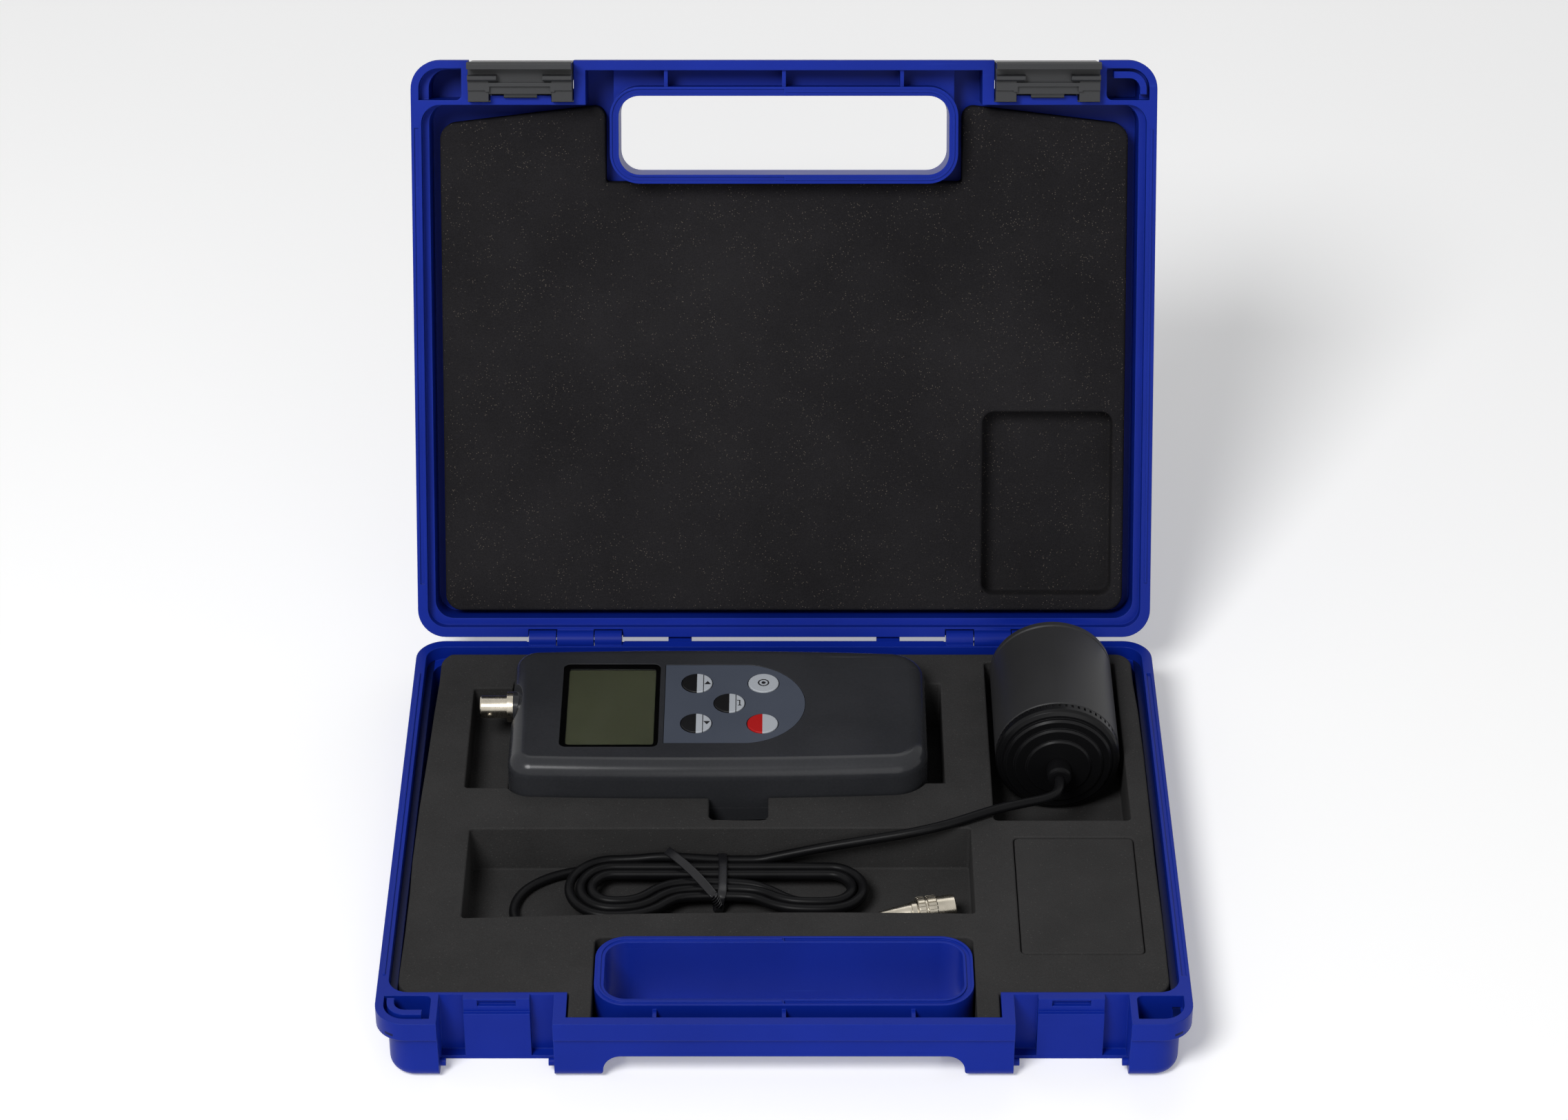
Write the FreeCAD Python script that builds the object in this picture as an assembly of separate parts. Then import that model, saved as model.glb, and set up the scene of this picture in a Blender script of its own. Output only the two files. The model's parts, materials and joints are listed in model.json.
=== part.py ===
import FreeCAD, Part
import math
import os

# Colorimeter kit: a hinged carrying case with foam, a hand-held meter, and a sensor head on a coiled lead.
# Millimetres. Origin at the middle of the case underside, +Z up, +X to the right, front (handle) towards -Y.

os.makedirs("parts", exist_ok=True)
Vec = FreeCAD.Vector
axis_x = Vec(1, 0, 0)
axis_y = Vec(0, 1, 0)
axis_z = Vec(0, 0, 1)

# Case: two like halves that meet at the rim
case_w = 316.0
case_d = 247.6
half_h = 29.5
rim_gap = 0.3
wall = 2.6
flange_side = 4.6
flange_front = 1.5
flange_h = 9.0
rim_w = 4.3
front = -124.5
back = front + case_d
shut_top = 2 * half_h + rim_gap
part_z = half_h + rim_gap / 2
shelf_y = -105.8
channel_x = 84.0
rim_r = 12.0
corner_x = 136.5
corner_y = -107.8
corner_rim = 3.3
rib_inset = 4.6
rib_w = 2.8

# Handle ring and the arch under the grip
ring_x = 73.85
ring_y0 = front + 11.1
ring_y1 = ring_y0 + 40.9
ring_wall = 3.8
ring_r = 12.6
arch_h = 11.7

# Latch recesses and latches
latch_x = 111.35
recess_w = 44.7
column_y = -107.0
block_y = -109.8
block_half = 12.9
pad_y = -111.2
pad_h = 23.0
sill_t = 1.6
slot_half = 7.5
slot_z0, slot_z1 = 25.8, 28.6
pivot_y = -118.5
pivot_z = 5.0
peg_r = 1.6
peg_len = 2.4
latch_w = 44.0
latch_rest_deg = 1.5

# Hinge
hinge_y = back + 1.0
hinge_x = 90.0
knuckle_r = 4.0
pin_r = 1.5
open_deg = 116.0

# Foam
foam_top = 28.5
foam_x = 150.4
lid_foam_t = 12.8

# Meter
meter_y = 60.0
meter_x0 = -114.0
meter_x1 = 59.5
meter_z0 = 4.5
meter_z1 = 43.0
meter_split = 22.0
meter_wall = 2.2
meter_half = (41.0, 42.5, 39.5)
keypad_y = 61.0
key_r = 6.4
keys = {
    "up_key": (-36.5, 75.0),
    "enter_key": (-22.8, 61.2),
    "down_key": (-36.5, 47.4),
    "lamp_key": (-8.6, 75.0),
    "power_key": (-8.9, 47.2),
}
socket_y = 73.0
socket_z = 32.0
socket_r = 4.8
screw_spots = [(-100.0, 29.5), (-100.0, 90.5), (41.0, 29.5), (41.0, 90.5)]
door_x0 = 3.0
door_half = 24.0
cell_r = 5.25
cell_len = 44.5
cell_z = 12.4

# Sensor head
head_x = 113.8
head_z = 29.6
head_r = 25.8
head_nose = 103.0
head_joint = 45.0
head_tail = 34.5
boot_len = 7.5
head_room = 28.0

# Lead and its hank
lead_d = 4.0
lead_r = lead_d / 2
strand = 4.6
hank_y = -28.2
hank_half = 20.6
hank_x0 = -66.4
hank_x1 = 10.0
hank_in_x = -16.0
hank_z = (10.2, 14.8)
hank_draw = 18.2
hank_ease = 29.6
tie_x = -26.0
plug_deg = 11.0
plug_start = Vec(38.5, -43.0, 14.0)
trough_floor = 7.0


def box(x0, x1, y0, y1, z0, z1):
    return Part.makeBox(x1 - x0, y1 - y0, z1 - z0, Vec(x0, y0, z0))


def upright_edges(shape):
    found = []
    for edge in shape.Edges:
        a, b = edge.Vertexes[0].Point, edge.Vertexes[-1].Point
        if abs(a.x - b.x) < 1e-6 and abs(a.y - b.y) < 1e-6 and abs(a.z - b.z) > 1e-3:
            found.append(edge)
    return found


def edges_at(shape, z):
    found = []
    for edge in shape.Edges:
        limits = edge.BoundBox
        if abs(limits.ZMin - z) < 1e-4 and abs(limits.ZMax - z) < 1e-4:
            found.append(edge)
    return found


def round_box(x0, x1, y0, y1, z0, z1, r):
    block = box(x0, x1, y0, y1, z0, z1)
    return block.makeFillet(r, upright_edges(block))


def rod(start, axis, r, length):
    return Part.makeCylinder(r, length, start, axis)


def cut_all(shape, tools):
    for tool in tools:
        shape = shape.cut(tool)
    return shape


def fuse_all(shapes):
    whole = shapes[0]
    for shape in shapes[1:]:
        whole = whole.fuse(shape)
    return whole.removeSplitter()


def prism_yz(points, x0, x1):
    corners = [Vec(x0, y, z) for y, z in points]
    face = Part.Face(Part.makePolygon(corners + [corners[0]]))
    return face.extrude(Vec(x1 - x0, 0, 0))


def turned(profile, start, axis):
    """Revolve (radius, distance along the axis) points about a line through start."""
    side = axis_z if abs(axis.z) < 0.9 else axis_x
    points = [start + side * r + axis * d for r, d in profile]
    face = Part.Face(Part.makePolygon(points + [points[0]]))
    return face.revolve(start, axis, 360)


def save(shape, name):
    solids = shape.Solids
    good = shape.isValid() and len(solids) > 0
    print("%-20s solids %2d  valid %s  volume %.0f" % (name, len(solids), good, shape.Volume))
    if len(solids) == 1:
        shape = solids[0]
    shape.exportStep("parts/" + name + ".step")


def shut_lid(shape):
    return shape.rotated(Vec(0, 0, part_z), axis_y, 180)


def raise_lid(shape):
    return shape.rotated(Vec(0, hinge_y, part_z), axis_x, -open_deg)


def arch_cutter():
    x = ring_x - ring_wall
    low, high = 4.5, 7.0
    k = math.sqrt(0.5)
    lines = []
    for side in (-1, 1):
        a = Vec(side * (x + low), front - 2, 0)
        b = Vec(side * x, front - 2, low)
        c = Vec(side * x, front - 2, arch_h - high)
        d = Vec(side * (x - high), front - 2, arch_h)
        round_out = Vec(side * (x + low - low * k), front - 2, low - low * k)
        round_in = Vec(side * (x - high + high * k), front - 2, arch_h - high + high * k)
        lines.append((a, round_out, b, c, round_in, d))
    left, right = lines
    drop = Vec(0, 0, -1)
    edges = [
        Part.LineSegment(left[0] + drop, left[0]).toShape(),
        Part.Arc(left[0], left[1], left[2]).toShape(),
        Part.LineSegment(left[2], left[3]).toShape(),
        Part.Arc(left[3], left[4], left[5]).toShape(),
        Part.LineSegment(left[5], right[5]).toShape(),
        Part.Arc(right[5], right[4], right[3]).toShape(),
        Part.LineSegment(right[3], right[2]).toShape(),
        Part.Arc(right[2], right[1], right[0]).toShape(),
        Part.LineSegment(right[0], right[0] + drop).toShape(),
        Part.LineSegment(right[0] + drop, left[0] + drop).toShape(),
    ]
    return Part.Face(Part.Wire(edges)).extrude(Vec(0, ring_y0 + ring_wall - front + 2.0, 0))


def latch_recess(side):
    """The space to cut, and the catch block and latch pegs that stand in it."""
    x0 = side * latch_x - recess_w / 2
    x1 = side * latch_x + recess_w / 2
    c = side * latch_x
    recess = box(x0, x1, front - 2, column_y, -1, half_h + 1)
    block = box(c - block_half, c + block_half, block_y, column_y + 0.6, 0, half_h)
    block = block.fuse(box(c - block_half, c + block_half, pad_y, block_y + 0.5, 0, pad_h))
    block = block.cut(box(c - slot_half, c + slot_half, block_y - 1, block_y + 1.5, slot_z0, slot_z1))
    sill = box(x0 - 0.6, x1 + 0.6, pad_y, column_y + 0.6, 0, sill_t)
    pegs = [rod(Vec(x0 - 0.6, pivot_y, pivot_z), axis_x, peg_r, peg_len + 0.6),
            rod(Vec(x1 - peg_len, pivot_y, pivot_z), axis_x, peg_r, peg_len + 0.6)]
    return recess, [block, sill] + pegs


def rim_plan(inset, z0, z1):
    """A block of the rim's plan, drawn in by an inset."""
    x = case_w / 2 - inset
    return round_box(-x, x, front + inset, back - inset, z0, z1, rim_r - inset)


def rim_strip(x0, x1, z0, z1, inset, width, room):
    """A narrow band along one side rim and round that half of the handle ring."""
    lane = rim_plan(inset, z0, z1).cut(rim_plan(inset + width, z0 - 1, z1 + 1))
    lane = lane.common(box(x0, x1, -96 + room, 100 - room, z0, z1))
    half = 0.5 * (ring_wall - width)
    loop = round_box(-ring_x + half, ring_x - half, ring_y0 + half, ring_y1 - half, z0, z1, ring_r - half)
    loop = loop.cut(round_box(-ring_x + half + width, ring_x - half - width, ring_y0 + half + width,
                              ring_y1 - half - width, z0 - 1, z1 + 1, ring_r - half - width))
    return lane.fuse(loop.common(box(x0 * 0.42 + room, x1 * 0.42 - room, front, 0, z0, z1)))


def corner_rib():
    """The locating rib in one front corner, which stands into the bare corner of the other half."""
    z0, z1 = half_h - flange_h + wall - 0.5, half_h + 1.0
    band = rim_plan(rib_inset, z0, z1).cut(rim_plan(rib_inset + rib_w, z0 - 1, z1 + 1))
    return band.common(box(-case_w / 2, -corner_x - 3.0, front, corner_y - 2.5, z0, z1))


def half_shell():
    """One moulded half, rim up. The lid is the same moulding turned over."""
    body_x = case_w / 2 - flange_side
    body = round_box(-body_x, body_x, front + flange_front, back - flange_side, 0, half_h, 10.5)
    body = body.makeFillet(5.0, edges_at(body, 0))
    flange = rim_plan(0, half_h - flange_h, half_h)
    flange = flange.makeFillet(0.9, edges_at(flange, half_h - flange_h))
    outer = fuse_all([body, flange])

    inner_x = body_x - wall
    inner_back = back - flange_side - wall
    rim_x = case_w / 2 - rim_w
    step_z = half_h - flange_h + wall
    top = half_h + 1
    inside = front + rim_w - 0.2
    cuts = [
        round_box(-inner_x, inner_x, shelf_y, inner_back, wall, top, 8),
        round_box(-rim_x, rim_x, shelf_y, back - rim_w, step_z, top, 8),
        box(-channel_x, channel_x, inside, shelf_y + 1, arch_h + wall, top),
    ]
    foot_x = ring_x - ring_wall + wall
    for side in (-1, 1):
        near, far = sorted((side * foot_x, side * channel_x))
        cuts.append(box(near, far, inside, shelf_y + 1, wall, top))
        near, far = sorted((side * corner_x, side * case_w))
        pocket = round_box(near, far, front - 10, corner_y, wall, top, 2.5)
        cuts.append(pocket.common(rim_plan(corner_rim, step_z, top)))
        cuts.append(pocket.common(round_box(-inner_x, inner_x, inside, back, wall, top, 10.5 - wall)))
    shell = cut_all(outer, cuts)

    ring = round_box(-ring_x, ring_x, ring_y0, ring_y1, 0, half_h, ring_r)
    ribs = [box(x - 0.8, x + 0.8, inside - 0.5, ring_y0 + 0.5, arch_h + 1, half_h - 2) for x in (-50, 0, 50)]
    shell = fuse_all([shell, ring] + ribs)
    hole = round_box(-ring_x + ring_wall, ring_x - ring_wall, ring_y0 + ring_wall, ring_y1 - ring_wall,
                     -1, top, ring_r - ring_wall)
    shell = cut_all(shell, [hole, arch_cutter()])

    for side in (-1, 1):
        recess, adds = latch_recess(side)
        shell = fuse_all([shell.cut(recess)] + adds)
    shell = fuse_all([shell, corner_rib()])
    shell = shell.cut(rim_strip(0, case_w, half_h - 0.8, half_h + 1, 1.3, 1.8, 0))
    return shell.fuse(rim_strip(-case_w, 0, half_h - 0.2, half_h + 0.6, 1.7, 1.0, 0.6)).removeSplitter()


def knuckle(x0, x1, z_side):
    """A hinge barrel with the web that ties it to one flange."""
    barrel = rod(Vec(x0, hinge_y, part_z), axis_x, knuckle_r, x1 - x0)
    low, high = sorted((part_z + z_side * 0.15, part_z + z_side * 8.0))
    web = box(x0, x1, back - 2.5, hinge_y, low, high)
    web = web.fuse(prism_yz([(back - 0.5, part_z + z_side * 8.0), (hinge_y, part_z + z_side * 8.0),
                             (hinge_y + 3.6, part_z + z_side * 1.6), (hinge_y, part_z + z_side * 0.15),
                             (back - 0.5, part_z + z_side * 0.15)], x0, x1))
    return barrel.fuse(web)


def hinge_shapes(z_side):
    """Barrels to add and clearances to cut, for the base (z_side -1) or the lid (z_side 1)."""
    adds, cuts, bores = [], [], []
    for centre in (-hinge_x, hinge_x):
        mine = [(-20.0, -8.3), (8.3, 20.0)] if z_side < 0 else [(-7.9, 7.9)]
        other = [(-7.9, 7.9)] if z_side < 0 else [(-20.0, -8.3), (8.3, 20.0)]
        bore = pin_r if z_side < 0 else pin_r + 0.15
        for x0, x1 in mine:
            adds.append(knuckle(centre + x0, centre + x1, z_side))
            bores.append(rod(Vec(centre + x0 - 1, hinge_y, part_z), axis_x, bore, x1 - x0 + 2))
        for x0, x1 in other:
            cuts.append(rod(Vec(centre + x0 - 0.4, hinge_y, part_z), axis_x, knuckle_r + 0.4, x1 - x0 + 0.8))
    return adds, cuts, bores


def stop_lug(x):
    """A lug behind the base that the raised lid leans on."""
    lean = math.radians(open_deg)
    face = []
    for far in (2.6, 7.2):
        y = hinge_y - math.cos(lean) + far * math.sin(lean)
        z = part_z + math.sin(lean) + far * math.cos(lean)
        face.append((y, z - 0.45))
    points = [(back - 1, 21.0), (back + 2.5, 21.0), (face[1][0], face[1][1] - 2.0), face[1], face[0],
              (back - 1, face[0][1] - 1.0)]
    return prism_yz(points, x - 5, x + 5)


def base_shell(half):
    adds, cuts, bores = hinge_shapes(-1)
    shell = cut_all(half, cuts)
    shell = fuse_all([shell] + adds + [stop_lug(-45), stop_lug(45)])
    return cut_all(shell, bores)


def lid_shell(half):
    adds, cuts, bores = hinge_shapes(1)
    shell = cut_all(shut_lid(half), cuts)
    return cut_all(fuse_all([shell] + adds), bores)


def hinge_pins():
    starts = [Vec(x - 19.5, hinge_y, part_z) for x in (-hinge_x, hinge_x)]
    return Part.makeCompound([rod(start, axis_x, pin_r, 39.0) for start in starts])


def latch(side):
    """A snap latch, drawn on the shut case and then swung in to the angle at which it hangs."""
    c = side * latch_x
    half_w = latch_w / 2
    pivot = shut_top - pivot_z
    rear = -122.4
    plate = prism_yz([(rear, 16.0), (-124.6, 16.0), (-125.4, 17.0), (-124.8, 20.0), (-123.6, pivot - 2.0),
                      (-121.8, pivot + 2.0), (-119.8, pivot + 2.0), (-119.8, 36.0), (rear, 33.0)],
                     c - half_w, c + half_w)
    barrel = rod(Vec(c - half_w, pivot_y, pivot), axis_x, 3.4, latch_w)
    body = box(c - half_w, c + half_w, rear - 0.4, -116.0, 24.6, 35.0)
    bar = box(c - 14.6, c + 14.6, -116.4, -114.7, 22.6, 28.3)
    web = box(c - 14.6, c + 14.6, -115.4, -111.4, 24.5, 28.3)
    nose = prism_yz([(-112.0, 26.2), (-109.9, 26.4), (-109.5, 27.2), (-109.5, 28.2), (-112.0, 28.2)],
                    c - slot_half + 0.5, c + slot_half - 0.5)
    pieces = [plate, barrel, body, bar, web, nose]
    for way in (-1, 1):
        x0, x1 = sorted((c + way * half_w, c + way * 9.7))
        ledge = [(-119.6, 20.6), (-119.2, 20.0), (-117.8, 20.0), (-117.0, 20.8),
                 (-117.0, 34.0), (-119.6, 34.0)]
        pieces.append(prism_yz(ledge, x0, x1))
        x0, x1 = sorted((c + way * half_w, c + way * (block_half + 0.4)))
        pieces.append(box(x0, x1, -118.0, -113.0, 22.6, 34.0))
        pieces.append(box(x0, x1, -118.0, -108.2, 24.0, 34.0))
        x0, x1 = sorted((c + way * 14.6, c + way * 12.8))
        pieces.append(box(x0, x1, -115.4, -112.4, 22.6, 25.0))
    bores = []
    for x0 in (c - half_w - 1.0, c + half_w - peg_len - 0.2):
        bores.append(rod(Vec(x0, pivot_y, pivot), axis_x, peg_r + 0.3, peg_len + 1.2))
    piece = cut_all(fuse_all(pieces), bores)
    return piece.rotated(Vec(c, pivot_y, pivot), axis_x, latch_rest_deg)


def meter_plan(off):
    """Plan outline of the meter: two bowed sides between straight ends, as a wire at z 0."""
    x0, x1 = meter_x0 + off, meter_x1 - off
    mid = 0.5 * (x0 + x1)
    a, m, b = [h - off for h in meter_half]
    low = [Vec(x0, meter_y - a, 0), Vec(mid, meter_y - m, 0), Vec(x1, meter_y - b, 0)]
    high = [Vec(x1, meter_y + b, 0), Vec(mid, meter_y + m, 0), Vec(x0, meter_y + a, 0)]
    edges = [
        Part.Arc(low[0], low[1], low[2]).toShape(),
        Part.LineSegment(low[2], high[0]).toShape(),
        Part.Arc(high[0], high[1], high[2]).toShape(),
        Part.LineSegment(high[2], low[0]).toShape(),
    ]
    return Part.Wire(edges)


def meter_block(off, z0, z1, top_r, bottom_r, corner=(10.0, 15.0)):
    face = Part.Face(meter_plan(off))
    face.translate(Vec(0, 0, z0))
    block = face.extrude(Vec(0, 0, z1 - z0))
    left = [e for e in upright_edges(block) if e.Vertexes[0].Point.x < 0]
    block = block.makeFillet(corner[0] - off, left)
    right = [e for e in upright_edges(block) if e.Vertexes[0].Point.x > meter_x1 - off - 0.01]
    block = block.makeFillet(corner[1] - off, right)
    if top_r > 0:
        block = block.makeFillet(top_r, edges_at(block, z1))
    if bottom_r > 0:
        block = block.makeFillet(bottom_r, edges_at(block, z0))
    return block


def scoop(extra):
    """Hollow in the socket end of the meter, deepest at the top face."""
    tilt = math.radians(22.0)
    r = 36.0 + extra
    lean = Vec(math.sin(tilt), 0, math.cos(tilt))
    at_top = Vec(-109.3 - 36.0 / math.cos(tilt), 66.0, meter_z1)
    return rod(at_top - lean * 45.0, lean, r, 60.0)


def keypad_face(off):
    """D-shaped keypad outline, straight on the display side and bowed at the tail."""
    x0, x1, x2 = -50.0 + off, -15.0, 9.0 - off
    h = 27.0 - off
    edges = [
        Part.LineSegment(Vec(x1, keypad_y - h, 0), Vec(x0, keypad_y - h, 0)).toShape(),
        Part.LineSegment(Vec(x0, keypad_y - h, 0), Vec(x0, keypad_y + h, 0)).toShape(),
        Part.LineSegment(Vec(x0, keypad_y + h, 0), Vec(x1, keypad_y + h, 0)).toShape(),
        Part.Arc(Vec(x1, keypad_y + h, 0), Vec(x2, keypad_y, 0), Vec(x1, keypad_y - h, 0)).toShape(),
    ]
    return Part.Face(Part.Wire(edges))


def keypad_block(off, z0, z1):
    face = keypad_face(off)
    face.translate(Vec(0, 0, z0))
    return face.extrude(Vec(0, 0, z1 - z0))


def meter_shells():
    outer = meter_block(0, meter_z0, meter_z1, 7.0, 6.0).cut(scoop(0))
    inner = meter_block(meter_wall, meter_z0 + meter_wall, meter_z1 - meter_wall, 4.8, 3.8)
    inner = inner.cut(scoop(meter_wall))
    shell = outer.cut(inner)
    reach = box(-150, 90, -10, 130, meter_split, 60)
    front_half = shell.common(reach)
    rear_half = shell.cut(reach)

    roof = meter_z1 - meter_wall
    steps = ((-114.0, 6.6, 5.0), (-110.0, 8.0, 2.4))
    adds = [rod(Vec(x, socket_y, socket_z), axis_x, r, long) for x, r, long in steps]
    adds += [rod(Vec(x, y, meter_split), axis_z, 3.6, roof + 0.5 - meter_split) for x, y in screw_spots]
    adds += [rod(Vec(x, y, roof - 3.3), axis_z, 2.0, 3.8) for x in (-98.0, 17.0) for y in (38.0, 82.0)]
    front_half = fuse_all([front_half] + adds)
    cuts = [
        round_box(-90.5, -54.0, meter_y - 26, meter_y + 26, 38, 44, 1.5),
        round_box(-93.0, -52.0, meter_y - 28.5, meter_y + 28.5, meter_z1 - 1.6, 44, 3),
        keypad_block(0, meter_z1 - 1.2, 44),
        rod(Vec(-120, socket_y, socket_z), axis_x, 4.95, 20),
    ]
    cuts += [rod(Vec(x, y, 38), axis_z, 3.2, 6) for x, y in keys.values()]
    cuts += [rod(Vec(x, y, meter_split - 1), axis_z, 1.25, 14) for x, y in screw_spots]
    front_half = cut_all(front_half, cuts)

    floor = meter_z0 + meter_wall
    bay = box(1.5, 55.5, meter_y - 25.5, meter_y + 25.5, floor - 0.5, 20.4)
    bay = bay.cut(box(3.0, 54.0, meter_y - door_half, meter_y + door_half, floor - 1, 18.9))
    bay = bay.common(meter_block(meter_wall - 0.5, meter_z0 + meter_wall - 0.5, meter_z1, 0, 3.8))
    posts = [rod(Vec(x, y, floor - 0.5), axis_z, 3.9, meter_split - floor + 0.5) for x, y in screw_spots]
    rear_half = fuse_all([rear_half, bay] + posts)
    cuts = [box(door_x0, 70, meter_y - door_half, meter_y + door_half, 0, 8.2)]
    cuts += [rod(Vec(x, y, 0), axis_z, 3.1, 7.2) for x, y in screw_spots]
    cuts += [rod(Vec(x, y, 0), axis_z, 1.7, 30) for x, y in screw_spots]
    rear_half = cut_all(rear_half, cuts)

    door = shell.common(box(door_x0 + 0.3, 70, meter_y - door_half + 0.3, meter_y + door_half - 0.3, 0, 7.8))
    grips = [box(x, x + 1.2, meter_y - 9, meter_y + 9, 3, meter_z0 + 0.6) for x in (12, 15, 18, 21)]
    return front_half, rear_half, cut_all(door, grips)


def key_cap(x, y):
    cap = rod(Vec(x, y, 42.3), axis_z, key_r, 1.0)
    cap = cap.makeFillet(0.45, edges_at(cap, 43.3))
    return cap.fuse(rod(Vec(x, y, 38.6), axis_z, 2.7, 4.0)).removeSplitter()


def meter_inside():
    board_z = 35.9
    board = box(-101, 21, meter_y - 25, meter_y + 25, board_z, board_z + 1.6)
    display = box(-90.8, -53.7, meter_y - 25.8, meter_y + 25.8, board_z + 1.6, meter_z1 - meter_wall)
    domes = [rod(Vec(x, y, board_z + 1.6), axis_z, 3.0, 0.5) for x, y in keys.values()]
    chips = [
        box(-60, -46, 52, 66, board_z - 1.8, board_z),
        box(-32, -22, 56, 62, board_z - 1.4, board_z),
        box(-14, -2, 68, 72.5, board_z - 3.4, board_z),
        rod(Vec(-40, 80, board_z - 6), axis_z, 3.2, 6),
    ]
    return board, display, Part.makeCompound(domes), Part.makeCompound(chips)


def cell_set():
    cells, springs, plates = [], [], []
    for i in range(4):
        y = meter_y + (i - 1.5) * 11.4
        flip = i % 2
        x0 = 6.6
        body = rod(Vec(x0 + (1.0 if flip else 0), y, cell_z), axis_x, cell_r, cell_len - 1.0)
        tip = rod(Vec(x0 if flip else x0 + cell_len - 1.0, y, cell_z), axis_x, 1.9, 1.0)
        cells.append(body.fuse(tip))
        plates.append(box(3.0, 3.5, y - 4.4, y + 4.4, 7.6, 17.4))
        plates.append(box(53.5, 54.0, y - 4.4, y + 4.4, 7.6, 17.4))
        minus = x0 + cell_len if flip else 3.5
        plus = 3.5 if flip else x0 + cell_len
        reach_minus = 53.5 - minus if flip else x0 - 3.5
        reach_plus = x0 - 3.5 if flip else 53.5 - plus
        springs.append(turned([(1.2, 0), (3.6, 0), (2.6, reach_minus), (1.2, reach_minus)],
                              Vec(minus, y, cell_z), axis_x))
        springs.append(rod(Vec(plus, y, cell_z), axis_x, 2.2, reach_plus))
    return Part.makeCompound(cells), Part.makeCompound(plates), Part.makeCompound(springs)


def meter_screws():
    screws = []
    for x, y in screw_spots:
        head = rod(Vec(x, y, 5.4), axis_z, 2.8, 1.8).cut(box(x - 2, x + 2, y - 0.4, y + 0.4, 5, 6.3))
        head = head.cut(box(x - 0.4, x + 0.4, y - 2, y + 2, 5, 6.3))
        screws.append(head.fuse(rod(Vec(x, y, 7.2), axis_z, 1.25, 25)).removeSplitter())
    return Part.makeCompound(screws)


def probe_socket():
    """Bayonet socket: barrel with two lugs, seat flange, body through the wall, and its inner parts."""
    start = Vec(-128.0, socket_y, socket_z)
    shell = turned([(4.05, 0), (4.4, 0), (socket_r, 0.5), (socket_r, 11.4), (6.4, 11.4), (6.4, 14.0),
                    (socket_r, 14.0), (socket_r, 25.0), (2.5, 25.0), (2.5, 10.5), (4.05, 10.5)],
                   start, axis_x)
    for angle in (-10, 170):
        out = Vec(0, -math.cos(math.radians(angle)), math.sin(math.radians(angle)))
        shell = shell.fuse(rod(start + axis_x * 4.2 + out * 4.4, out, 1.0, 1.15))
    bush = turned([(0.75, 3.0), (2.4, 3.0), (2.5, 10.5), (2.5, 25.0), (0.75, 25.0)], start, axis_x)
    pin = turned([(0.3, 2.6), (0.75, 2.6), (0.75, 28.0), (0, 28.0), (0, 9.0), (0.3, 9.0)], start, axis_x)
    corners = []
    for i in range(7):
        turn = math.radians(60 * i)
        corners.append(Vec(-107.6, socket_y + 6.9 * math.cos(turn), socket_z + 6.9 * math.sin(turn)))
    nut = Part.Face(Part.makePolygon(corners)).extrude(axis_x * 2.6)
    nut = nut.cut(rod(Vec(-109, socket_y, socket_z), axis_x, socket_r, 6))
    return shell.removeSplitter(), bush, pin, nut


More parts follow.
